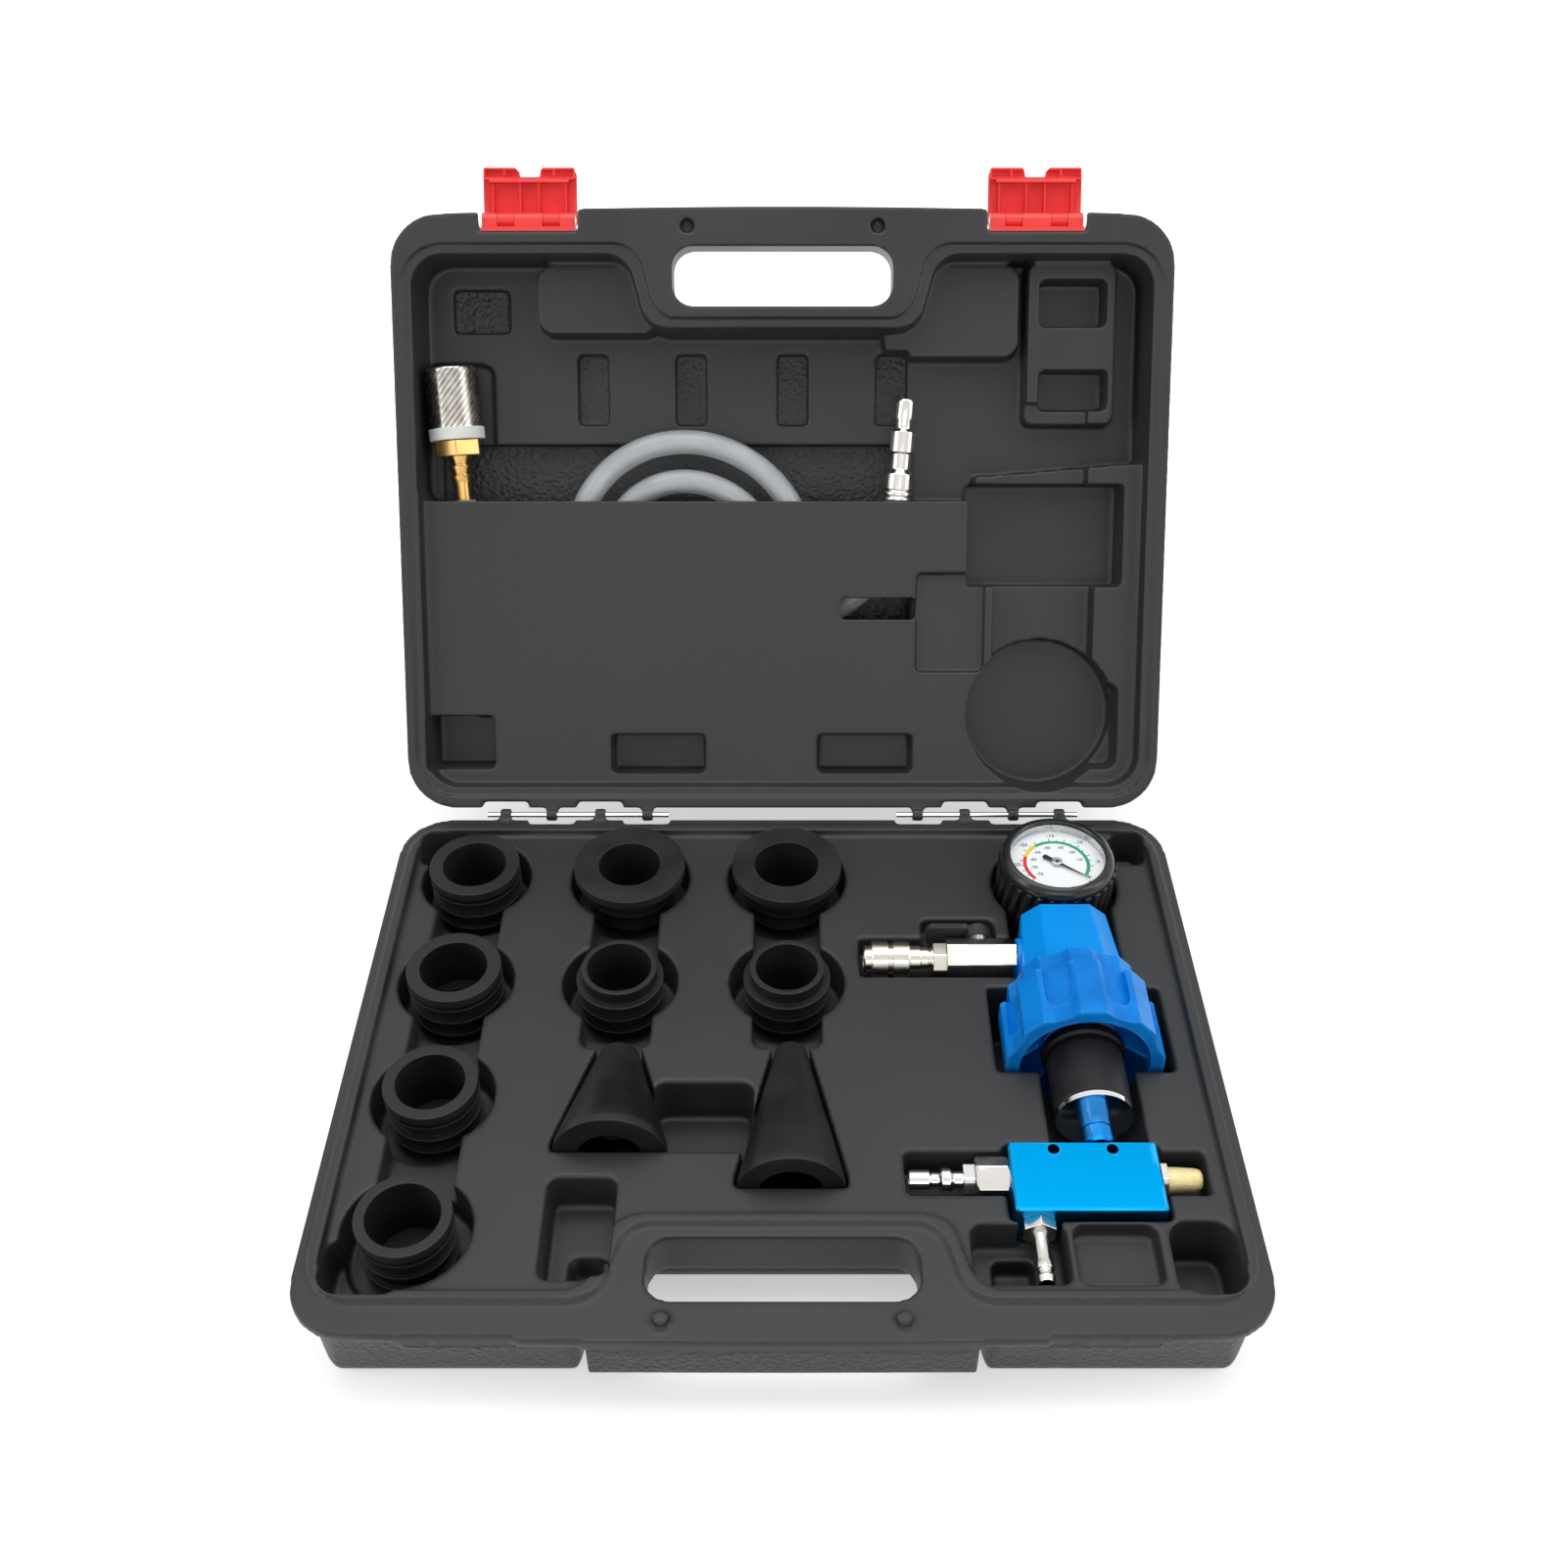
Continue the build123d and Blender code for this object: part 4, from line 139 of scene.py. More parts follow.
ground = bpy.data.objects.new("ground", ground_mesh)
scene.collection.objects.link(ground)

# Each lamp: name, place, what it points at, width, height and power.
LAMPS = (
    ("lamp_top", (0.0, 0.25, 1.5), (0.0, 0.0, 0.0), 1.5, 1.0, 11.0),
    ("lamp_left", (-1.3, -0.3, 0.8), (0.0, 0.0, 0.05), 0.5, 1.3, 5.0),
    ("lamp_right", (1.3, -0.2, 0.8), (0.0, 0.0, 0.05), 0.5, 1.3, 5.0),
    ("lamp_front", (0.0, -1.5, 0.9), (0.0, 0.0, 0.1), 1.4, 0.5, 4.0),
)
for name, place, aim, width, height, power in LAMPS:
    lamp_data = bpy.data.lights.new(name, "AREA")
    lamp_data.shape = "RECTANGLE"
    lamp_data.size, lamp_data.size_y, lamp_data.energy = width, height, power
    lamp = bpy.data.objects.new(name, lamp_data)
    lamp.location = place
    lamp.rotation_euler = (Vector(aim) - Vector(place)).to_track_quat("-Z", "Y").to_euler()
    scene.collection.objects.link(lamp)

# ---- clear hose ----
# One length of limp clear hose, coiled behind the lid's panel. A strainer ends one side and a
# quick plug the other. Wall 2 mm, so the bore is its own surface inside the wall.
MM = 0.001
LID_OPEN = math.radians(-121.3)
HINGE = Matrix.Translation((0, 0.14875, 0.045))
base_place = HINGE @ Matrix.Scale(MM, 4)
lid_place = HINGE @ Matrix.Rotation(LID_OPEN, 4, "X") @ Matrix.Scale(MM, 4)
HOSE_R, HOSE_BORE_R = 6.0, 4.0
HOSE_D = 20.3
COIL_X = -50.0
# Each half turn: how far it bulges across, where it starts and ends forward, and its drop.
COIL_HALF_TURNS = ((62.5, 62.0, 187.0, 0.0), (-55.7, 187.0, 75.6, 0.0), (45.95, 75.6, 167.5, 0.0),
                   (-39.15, 167.5, 89.2, 12.8))
HALF_TURN_POINTS = 8
TO_COIL = ((-157.5, 112.0, 21.7), (-144.0, 89.0, 20.9), (-122.0, 72.0, 20.3), (-94.0, 62.0, 20.3))
FROM_COIL = ((-18.0, 89.2, 33.1), (10.0, 94.0, 33.1), (38.0, 107.5, 29.8))
STRAINER_X, STRAINER_Q, STRAINER_D = -161.5, 158.0, 22.5
PLUG_X, PLUG_Q = 58.0, 158.0
END_TILT = math.radians(4.5)
END_RUN = 28.0


def hose_route():
    """The hose's control points in the lid, as across, forward and up from the rim."""
    side, back = END_RUN * math.sin(END_TILT), END_RUN * math.cos(END_TILT)
    route = [(STRAINER_X, STRAINER_Q, STRAINER_D), (STRAINER_X + side, STRAINER_Q - back, STRAINER_D), *TO_COIL]
    reach = 1 / math.cos(math.pi / HALF_TURN_POINTS / 2)
    for bulge, start, end, down in COIL_HALF_TURNS:
        for step in range(HALF_TURN_POINTS):
            share = (step + 0.5) / HALF_TURN_POINTS
            across = COIL_X + bulge * reach * math.sin(share * math.pi)
            forward = start + (end - start) * (1 - reach * math.cos(share * math.pi)) / 2
            route.append((across, forward, HOSE_D + down * share))
    route += [*FROM_COIL, (PLUG_X - side, PLUG_Q - back, HOSE_D), (PLUG_X, PLUG_Q, HOSE_D)]
    return [lid_place @ Vector((x, -q, d)) for x, q, d in route]


def hose_line(radius):
    """The route as a smooth line, with the given thickness, as a mesh."""
    line = bpy.data.curves.new("hose_line", "CURVE")
    line.dimensions = "3D"
    line.resolution_u = 6
    line.bevel_depth = radius * MM
    line.bevel_resolution = 6
    points = hose_route()
    spline = line.splines.new("NURBS")
    spline.points.add(len(points) - 1)
    for point, at in zip(spline.points, points):
        point.co = (*at, 1.0)
    spline.order_u = 3
    spline.use_endpoint_u = True
    holder = bpy.data.objects.new("hose_line", line)
    scene.collection.objects.link(holder)
    mesh = bpy.data.meshes.new_from_object(holder.evaluated_get(bpy.context.evaluated_depsgraph_get()))
    bpy.data.objects.remove(holder)
    return mesh


hose_shape = bmesh.new()
hose_shape.from_mesh(hose_line(HOSE_BORE_R))
bmesh.ops.reverse_faces(hose_shape, faces=hose_shape.faces)
hose_shape.from_mesh(hose_line(HOSE_R))
hose_path = [tuple(v.co) for v in hose_line(0.0).vertices]
for end in (hose_path[0], hose_path[-1]):
    rims = [e for e in hose_shape.edges
            if e.is_boundary and (e.verts[0].co - Vector(end)).length < 2 * HOSE_R * MM]
    bmesh.ops.bridge_loops(hose_shape, edges=rims)
for face in hose_shape.faces:
    face.smooth = True
hose_mesh = bpy.data.meshes.new("hose")
hose_shape.to_mesh(hose_mesh)
hose_shape.free()
hose = bpy.data.objects.new("hose", hose_mesh)
scene.collection.objects.link(hose)


def group_of(name, inputs, outputs):
    """An empty shader effect with its named inputs and outputs."""
    tree = bpy.data.node_groups.new(name, "ShaderNodeTree")
    for label, kind, value in inputs:
        socket = tree.interface.new_socket(name=label, in_out="INPUT", socket_type="NodeSocket" + kind)
        socket.default_value = value
    for label, kind in outputs:
        tree.interface.new_socket(name=label, in_out="OUTPUT", socket_type="NodeSocket" + kind)
    return tree, add_node(tree, "NodeGroupInput"), add_node(tree, "NodeGroupOutput")


def noise_at(tree, scale_socket, detail=3.0):
    """Noise over the object's own coordinates, at a scale given by a socket."""
    where = add_node(tree, "ShaderNodeTexCoord")
    noise = add_node(tree, "ShaderNodeTexNoise")
    noise.inputs["Detail"].default_value = detail
    wire(tree, where.outputs["Object"], noise.inputs["Vector"])
    wire(tree, scale_socket, noise.inputs["Scale"])
    return noise.outputs["Fac"]


def build_mottle():
    """Uneven colour and gloss: a second shade, and a rougher patch, wherever the noise is high."""
    inputs = (("Colour", "Color", WHITE), ("Second", "Color", WHITE), ("Scale", "Float", 30.0),
              ("Smooth", "Float", 0.3), ("Rough", "Float", 0.5))
    tree, given, made = group_of("mottle", inputs, (("Colour", "Color"), ("Roughness", "Float")))
    patches = noise_at(tree, given.outputs["Scale"])
    shade = add_node(tree, "ShaderNodeMix", data_type="RGBA")
    sharp = add_node(tree, "ShaderNodeMapRange")
    sharp.inputs["From Min"].default_value = 0.35
    sharp.inputs["From Max"].default_value = 0.65
    wire(tree, patches, sharp.inputs["Value"])
    wire(tree, sharp.outputs["Result"], shade.inputs["Factor"])
    wire(tree, given.outputs["Colour"], shade.inputs["A"])
    wire(tree, given.outputs["Second"], shade.inputs["B"])
    wire(tree, shade.outputs["Result"], made.inputs["Colour"])
    gloss = add_node(tree, "ShaderNodeMapRange")
    wire(tree, sharp.outputs["Result"], gloss.inputs["Value"])
    wire(tree, given.outputs["Smooth"], gloss.inputs["To Min"])
    wire(tree, given.outputs["Rough"], gloss.inputs["To Max"])
    wire(tree, gloss.outputs["Result"], made.inputs["Roughness"])
    return tree


def build_edge_highlight():
    """A painted highlight: a lighter colour along the sharp, convex edges, standing in for the light they
    catch.
    """
    inputs = (("Colour", "Color", WHITE), ("Worn", "Color", WHITE), ("Amount", "Float", 0.5))
    tree, given, made = group_of("painted edge highlight", inputs, (("Colour", "Color"),))
    shape = add_node(tree, "ShaderNodeNewGeometry")
    # Pointy, convex places get the lighter colour: a painted edge highlight.
    edges = add_node(tree, "ShaderNodeMapRange")
    edges.inputs["From Min"].default_value = 0.52
    edges.inputs["From Max"].default_value = 0.62
    wire(tree, shape.outputs["Pointiness"], edges.inputs["Value"])
    amount = add_node(tree, "ShaderNodeMath", operation="MULTIPLY")
    wire(tree, edges.outputs["Result"], amount.inputs[0])
    wire(tree, given.outputs["Amount"], amount.inputs[1])
    mix = add_node(tree, "ShaderNodeMix", data_type="RGBA")
    wire(tree, amount.outputs[0], mix.inputs["Factor"])
    wire(tree, given.outputs["Colour"], mix.inputs["A"])
    wire(tree, given.outputs["Worn"], mix.inputs["B"])
    wire(tree, mix.outputs["Result"], made.inputs["Colour"])
    return tree


def build_grain():
    """Moulded or turned grain as a height: fine noise over pebbles of the same scale."""
    inputs = (("Scale", "Float", 900.0), ("Pebbles", "Float", 0.0), ("Fine", "Float", 1.0))
    tree, given, made = group_of("grain", inputs, (("Height", "Float"),))
    fine = noise_at(tree, given.outputs["Scale"], 5.0)
    where = add_node(tree, "ShaderNodeTexCoord")
    cells = add_node(tree, "ShaderNodeTexVoronoi", feature="SMOOTH_F1")
    wire(tree, where.outputs["Object"], cells.inputs["Vector"])
    wire(tree, given.outputs["Scale"], cells.inputs["Scale"])
    heights = []
    for source, factor in ((fine, "Fine"), (cells.outputs["Distance"], "Pebbles")):
        part = add_node(tree, "ShaderNodeMath", operation="MULTIPLY")
        wire(tree, source, part.inputs[0])
        wire(tree, given.outputs[factor], part.inputs[1])
        heights.append(part.outputs[0])
    total = add_node(tree, "ShaderNodeMath", operation="ADD")
    wire(tree, heights[0], total.inputs[0])
    wire(tree, heights[1], total.inputs[1])
    wire(tree, total.outputs[0], made.inputs["Height"])
    return tree


mottle, painted_edge_highlight, grain = build_mottle(), build_edge_highlight(), build_grain()


def effect(tree, group, **values):
    """Places a shader effect in a material with its own values."""
    node = add_node(tree, "ShaderNodeGroup", node_tree=group)
    for label, value in values.items():
        node.inputs[label].default_value = value
    return node


def finish(name, colour, second, smooth, rough, scale=30.0, highlight_colour=None, highlight_amount=0.5, grain_scale=900.0,
           pebbles=0.0, fine=1.0, depth=0.00001, **sockets):
    """A surface finish: mottled colour and gloss, a painted highlight along the edges and a grain of the given
    depth.
    """
    look = bpy.data.materials.new(name)
    look.use_nodes = True
    tree = look.node_tree
    shader = tree.nodes["Principled BSDF"]
    for label, value in sockets.items():
        shader.inputs[label.replace("_", " ")].default_value = value
    tone = effect(tree, mottle, Colour=(*colour, 1), Second=(*second, 1), Scale=scale, Smooth=smooth,
                  Rough=rough)
    shade = tone.outputs["Colour"]
    # The lighter colour along the edges is a painted highlight.
    if highlight_colour:
        highlight_mix = effect(tree, painted_edge_highlight, Worn=(*highlight_colour, 1), Amount=highlight_amount)
        wire(tree, shade, highlight_mix.inputs["Colour"])
        shade = highlight_mix.outputs["Colour"]
    wire(tree, shade, shader.inputs["Base Color"])
    wire(tree, tone.outputs["Roughness"], shader.inputs["Roughness"])
    texture = effect(tree, grain, Scale=grain_scale, Pebbles=pebbles, Fine=fine)
    bump = add_node(tree, "ShaderNodeBump")
    bump.inputs["Distance"].default_value = depth
    wire(tree, texture.outputs["Height"], bump.inputs["Height"])
    wire(tree, bump.outputs["Normal"], shader.inputs["Normal"])
    return look


clear_vinyl = finish("clear vinyl", (0.90, 0.92, 0.93), (0.82, 0.85, 0.87), 0.06, 0.14, scale=60,
                     depth=0.00002, grain_scale=120, Transmission_Weight=0.72, IOR=1.38)
hose_mesh.materials.append(clear_vinyl)
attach(hose, "case_lid")
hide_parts("hose_coil", "hose_tail_strainer", "hose_tail_plug")

# ---- hose ends ----
# A wire-cloth strainer on a brass hexagon and barb, with a white collar between them, and a turned
# quick plug. Both are pushed into the hose by their barbs.


def turned(profile, steps=72):
    """Turns an outline of radius and height points round the upright axis."""
    shape = bmesh.new()
    points = [shape.verts.new((r, 0, z)) for r, z in profile]
    pairs = list(zip(points, points[1:]))
    if profile[0][0] > 0 or profile[-1][0] > 0:
        pairs.append((points[-1], points[0]))
    edges = [shape.edges.new(pair) for pair in pairs]
    bmesh.ops.spin(shape, geom=points + edges, cent=(0, 0, 0), axis=(0, 0, 1), dvec=(0, 0, 0),
                   angle=2 * math.pi, steps=steps, use_merge=True)
    bmesh.ops.remove_doubles(shape, verts=shape.verts, dist=0.0005)
    bmesh.ops.recalc_face_normals(shape, faces=shape.faces)
    return shape


def eased(shape, width, segments=2, angle=30, least=0.0):
    """Rounds every edge that is sharper than the given angle and longer than the least length."""
    sharp = [e for e in shape.edges
             if e.is_manifold and e.calc_face_angle(0) > math.radians(angle) and e.calc_length() > least]
    bmesh.ops.bevel(shape, geom=sharp, offset=width, offset_type="OFFSET", segments=segments, profile=0.5,
                    affect="EDGES", clamp_overlap=least == 0, material=-1)
    return shape


SHARP_ANGLE = math.radians(36)


def fitted(shape, name, place, body, look, slot, *nodes):
    """Puts a finished shape in its place, on its body, in its finish."""
    shape.transform(place)
    for face in shape.faces:
        face.smooth = True
    for edge in shape.edges:
        edge.smooth = edge.calc_face_angle(0) < SHARP_ANGLE
    mesh = bpy.data.meshes.new(name)
    shape.to_mesh(mesh)
    shape.free()
    mesh.materials.append(look)
    piece = bpy.data.objects.new(name, mesh)
    scene.collection.objects.link(piece)
    weighted = piece.modifiers.new("even_shading", "WEIGHTED_NORMAL")
    weighted.keep_sharp = True
    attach(piece, body)
    if nodes:
        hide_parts(*nodes)
    return piece


def knurled(shape, low, high, rows, steps, depth):
    """Presses every other point of a turned band inward, which leaves small diamonds."""
    for vert in shape.verts:
        if low - 0.01 < vert.co.z < high + 0.01:
            column = round(math.atan2(vert.co.y, vert.co.x) / (2 * math.pi) * steps)
            row = round((vert.co.z - low) / (high - low) * rows)
            if (column + row) % 2:
                reach = Vector((vert.co.x, vert.co.y)).length
                vert.co.x *= (reach - depth) / reach
                vert.co.y *= (reach - depth) / reach
    return shape


def along(start, way, out=0.0):
    """A place in the lid, on a hose end's axis, whose upright direction is that axis."""
    turn = Vector((0, 0, 1)).rotation_difference(Vector(way)).to_matrix().to_4x4()
    return lid_place @ Matrix.Translation(Vector(start) + Vector(way) * out) @ turn


def banded(radius, low, high, rows):
    """The outline of a straight band cut into rows."""
    return [(radius, low + (high - low) * i / rows) for i in range(rows + 1)]


brass = finish("brass", (0.70, 0.43, 0.16), (0.58, 0.34, 0.11), 0.18, 0.32, highlight_colour=(0.9, 0.70, 0.36), highlight_amount=0.3,
               Metallic=1.0, grain_scale=2500)
white_nylon = finish("white nylon", (0.82, 0.83, 0.80), (0.74, 0.76, 0.72), 0.35, 0.5, depth=0.00002)
# The cloth's dark tone between the crests is painted shade in the weave's openings; its crests get a painted
# highlight.
wire_cloth = finish("wire cloth", (0.27, 0.25, 0.22), (0.36, 0.33, 0.29), 0.2, 0.34, scale=200, Metallic=1.0,
                    highlight_colour=(0.82, 0.79, 0.73), highlight_amount=1.0)
bright_nickel = finish("bright nickel", (0.72, 0.70, 0.66), (0.62, 0.60, 0.56), 0.12, 0.26, scale=90,
                       highlight_colour=(0.86, 0.84, 0.8), highlight_amount=0.4, Metallic=1.0, grain_scale=2200)

STRAINER_R, CLOTH_L = 13.2, 27.0
CLOTH_ROWS, CLOTH_STEPS, CLOTH_KNURL = 16, 52, 1.0
COLLAR_OUT, CLOTH_OUT = 30.0, 36.0
strainer_start = (STRAINER_X, -STRAINER_Q, STRAINER_D)
strainer_way = (-math.sin(END_TILT), -math.cos(END_TILT), 0)
plug_start = (PLUG_X, -PLUG_Q, HOSE_D)
plug_way = (math.sin(END_TILT), -math.cos(END_TILT), 0)
cloth_cap = [(12.9, 28.6), (12.0, 29.6), (10.8, 30.0), (10.2, 29.5), (0.0, 29.3), (0.0, 27.4), (12.0, 27.4)]
cloth = turned([(12.0, 0.0)] + banded(STRAINER_R, 0.0, CLOTH_L, CLOTH_ROWS) + cloth_cap, CLOTH_STEPS)
knurled(cloth, 0.0, CLOTH_L, CLOTH_ROWS, CLOTH_STEPS, CLOTH_KNURL)
strainer = fitted(cloth, "strainer_cloth", along(strainer_start, strainer_way, CLOTH_OUT), "case_lid",
                  wire_cloth, "mesh_steel", "strainer_mesh")
collar = fitted(eased(turned([(11.5, 0), (13.9, 0), (13.9, 6), (11.5, 6)]), 0.5), "strainer_seal",
                along(strainer_start, strainer_way, COLLAR_OUT), "case_lid", white_nylon, "white_plastic",
                "strainer_collar")


def hexagon(across_flats, length, chamfer=0.7):
    """A hexagon bar with its corners turned down at both ends."""
    shape = bmesh.new()
    bmesh.ops.create_cone(shape, cap_ends=True, segments=6, radius1=across_flats / math.sqrt(3),
                          radius2=across_flats / math.sqrt(3), depth=length)
    bmesh.ops.translate(shape, verts=shape.verts, vec=(0, 0, length / 2))
    bmesh.ops.bevel(shape, geom=list(shape.edges), offset=chamfer / 2, offset_type="OFFSET", segments=2,
                    profile=0.5, affect="EDGES", clamp_overlap=True, material=-1)
    return shape


def joined(*shapes):
    """Several shapes as one."""
    whole = bmesh.new()
    for shape in shapes:
        part = bpy.data.meshes.new("part")
        shape.to_mesh(part)
        shape.free()
        whole.from_mesh(part)
        bpy.data.meshes.remove(part)
    return whole


BARB_L = 22.0
barb_profile = [(2.6, -11.0), (4.0, -11.0), (4.0, 8.3), (6.0, 12.3), (4.4, 12.4), (4.4, 13.2), (6.0, 17.1),
                (4.4, 17.2), (4.4, 18.0), (6.0, BARB_L), (2.6, BARB_L)]
hex_bar = hexagon(22.0, 8.0, 1.4)
bmesh.ops.translate(hex_bar, verts=hex_bar.verts, vec=(0, 0, BARB_L))
barb = fitted(joined(eased(turned(barb_profile, 48), 0.2), hex_bar), "strainer_barb",
              along(strainer_start, strainer_way), "case_lid", brass, "brass", "strainer_nut_barb")
PLUG_R, PLUG_L = 7.2, 50.0
PLUG_SHARES = ((0.55, -0.2), (0.55, 0.0), (1.0, 0.0), (1.0, 0.02), (0.93, 0.035), (1.0, 0.05), (1.0, 0.08),
               (0.93, 0.095), (1.0, 0.11), (1.0, 0.26), (0.74, 0.31), (0.74, 0.46), (0.89, 0.48),
               (0.89, 0.68), (0.56, 0.71), (0.56, 0.79), (0.68, 0.82), (0.68, 0.97), (0.6, 1.0))
plug_profile = [(2.5, -10.0)] + [(PLUG_R * r, PLUG_L * z) for r, z in PLUG_SHARES] + [(2.5, PLUG_L)]
hose_plug = fitted(eased(turned(plug_profile, 48), 0.25), "quick_plug", along(plug_start, plug_way),
                   "case_lid", bright_nickel, "plated_steel", "hose_plug")

# ---- case halves ----
# Two blow-moulded halves in charcoal plastic, pebbled outside and satin inside, with soft edges
# where the sheet is drawn over the mould. The pocket behind the hose keeps the pebbled skin.
CASE_VOXEL = 0.0010
CASE_FACES = 190000
CASE_OUTSIDE = 0.177
CASE_FRONT, CASE_BACK = -0.1275, 0.136
CASE_HALF_WIDTH, CASE_HALF_DEPTH = 0.19, 0.15
RIM_BAND, OUTER_FLOOR, POCKET_FLOOR = 0.0065, 0.044, 0.0375


def add_skin_mask(mesh, place):
    """Marks the pebbled faces of a half: its outside, and the floor of the deep hose pocket."""
    mask = mesh.attributes.new("outside", "FLOAT", "POINT")
    back = place.inverted()
    facing = back.to_3x3()
    for index, vert in enumerate(mesh.vertices):
        x, y, z = (back @ vert.co) * MM
        level = abs(z)
        forward = y + HINGE.translation.y
        normal = (facing @ vert.normal).normalized()
        near_edge = abs(x) > CASE_OUTSIDE or forward > CASE_BACK or forward < CASE_FRONT
        outward = normal.x * x / CASE_HALF_WIDTH + normal.y * forward / CASE_HALF_DEPTH > 0.25
        outer = level > RIM_BAND and near_edge and outward or level > OUTER_FLOOR
        mask.data[index].value = 1.0 if outer else 0.0
        if z > POCKET_FLOOR and normal.z < -0.7:
            mask.data[index].value = 1.0


def moulded_half(name, body, place, nodes):
    """One half as a single skin with softened edges, made from its CAD solids."""
    shape = bmesh.new()
    for node in nodes:
        shape.from_mesh(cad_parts[node].data)
    bmesh.ops.remove_doubles(shape, verts=shape.verts, dist=0.000001)
    mesh = bpy.data.meshes.new(name)
    shape.to_mesh(mesh)
    shape.free()
    rough = bpy.data.objects.new(name + "_rough", mesh)
    scene.collection.objects.link(rough)
    skin = rough.modifiers.new("skin", "REMESH")
    skin.mode, skin.voxel_size = "VOXEL", CASE_VOXEL
    soft = rough.modifiers.new("soft", "SMOOTH")
    soft.factor, soft.iterations = 0.5, 6
    bpy.context.view_layer.update()
    faces = len(rough.evaluated_get(bpy.context.evaluated_depsgraph_get()).data.polygons) * 2
    fewer = rough.modifiers.new("fewer", "DECIMATE")
    fewer.ratio = min(1.0, CASE_FACES / faces)
    made = bpy.data.meshes.new_from_object(rough.evaluated_get(bpy.context.evaluated_depsgraph_get()))
    bpy.data.objects.remove(rough)
    made.name = name
    for polygon in made.polygons:
        polygon.use_smooth = True
    add_skin_mask(made, place)
    half = bpy.data.objects.new(name, made)
    scene.collection.objects.link(half)
    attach(half, body)
    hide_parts(*nodes)
    return half


# The case's lighter colour along its lips and rims is a painted highlight.
case_look = finish("charcoal plastic", (0.024, 0.0245, 0.0255), (0.030, 0.0305, 0.0315), 0.40, 0.48,
                   scale=14, highlight_colour=(0.075, 0.077, 0.08), highlight_amount=0.5, depth=0.00002, grain_scale=1400,
                   Specular_IOR_Level=0.36)
PEBBLE_DEPTH = 0.0007
case_tree = case_look.node_tree
case_shader = case_tree.nodes["Principled BSDF"]
pebble_mask = add_node(case_tree, "ShaderNodeAttribute", attribute_name="outside")
pebbles = effect(case_tree, grain, Scale=520.0, Pebbles=1.0, Fine=0.35)
pebble_height = add_node(case_tree, "ShaderNodeMath", operation="MULTIPLY")
wire(case_tree, pebbles.outputs["Height"], pebble_height.inputs[0])
wire(case_tree, pebble_mask.outputs["Fac"], pebble_height.inputs[1])
pebble_bump = add_node(case_tree, "ShaderNodeBump")
pebble_bump.inputs["Distance"].default_value = PEBBLE_DEPTH
wire(case_tree, pebble_height.outputs[0], pebble_bump.inputs["Height"])
fine_bump = case_shader.inputs["Normal"].links[0].from_node
wire(case_tree, fine_bump.outputs["Normal"], pebble_bump.inputs["Normal"])
wire(case_tree, pebble_bump.outputs["Normal"], case_shader.inputs["Normal"])
base_nodes = ("case_base", "case_base_inner_left", "case_base_inner_right")
lid_nodes = ("case_lid", "case_lid_inner_left", "case_lid_inner_right")
for name, body, place, nodes in (("moulded_base", "case_base", base_place, base_nodes),
                                 ("moulded_lid", "case_lid", lid_place, lid_nodes)):
    half = moulded_half(name, body, place, nodes)
    half.data.materials.append(case_look)

# ---- hinge pins and latches ----
# Chromed pins through the moulded knuckles, and two red latches that swing on steel pins in
# their mounts on the lid's front edge.
ROW = Matrix.Scale(MM, 4)
MERGED = 0.02


def copied(*nodes, whole=True):
    """The faces of CAD nodes in millimetres, with flat areas made whole unless told not to."""
    shape = bmesh.new()
    for node in nodes:
        shape.from_mesh(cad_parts[node].data)
    shape.transform(Matrix.Scale(1 / MM, 4))
    bmesh.ops.remove_doubles(shape, verts=shape.verts, dist=0.002)
    if whole:
        bmesh.ops.dissolve_limit(shape, angle_limit=math.radians(1.2), verts=shape.verts, edges=shape.edges)
    return shape


def gridded(shape, step):
    """Cuts a shape's large flat areas by rows of planes, so that the painted edge highlight stays at its edges.

    Points nearer than MERGED are made one afterwards.
    """
    corners = [[v.co[axis] for v in shape.verts] for axis in range(3)]
    for axis, places in enumerate(corners):
        way = [0, 0, 0]
        way[axis] = 1
        low, high = min(places), max(places)
        count = round((high - low) / step)
        for i in range(1, count):
            spot = [0, 0, 0]
            spot[axis] = low + (high - low) * i / count
            everything = shape.verts[:] + shape.edges[:] + shape.faces[:]
            bmesh.ops.bisect_plane(shape, geom=everything, dist=0.0001, plane_co=spot, plane_no=way)
    bmesh.ops.remove_doubles(shape, verts=shape.verts, dist=MERGED)
    return shape


def repaint(look, *nodes):
    """Gives CAD nodes that stay in view a finish."""
    for node in nodes:
        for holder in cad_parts[node].material_slots:
            holder.material = look


chrome = finish("chrome", (0.80, 0.80, 0.80), (0.72, 0.72, 0.73), 0.06, 0.16, scale=120, Metallic=1.0,
                grain_scale=1800, highlight_colour=(0.9, 0.9, 0.9), highlight_amount=0.3)
latch_red = finish("latch red", (0.86, 0.012, 0.014), (0.76, 0.008, 0.010), 0.30, 0.42, scale=50,
                   highlight_colour=(0.95, 0.12, 0.10), highlight_amount=0.45, depth=0.00003, grain_scale=300)
repaint(chrome, "hinge_pins", "latch_pins")
repaint(latch_red, "latch_mounts")
for side in ("left", "right"):
    latch = "latch_" + side
    fitted(eased(copied(latch), 0.35, least=1.5), "snap_" + latch, ROW, latch, latch_red, "latch_red", latch)

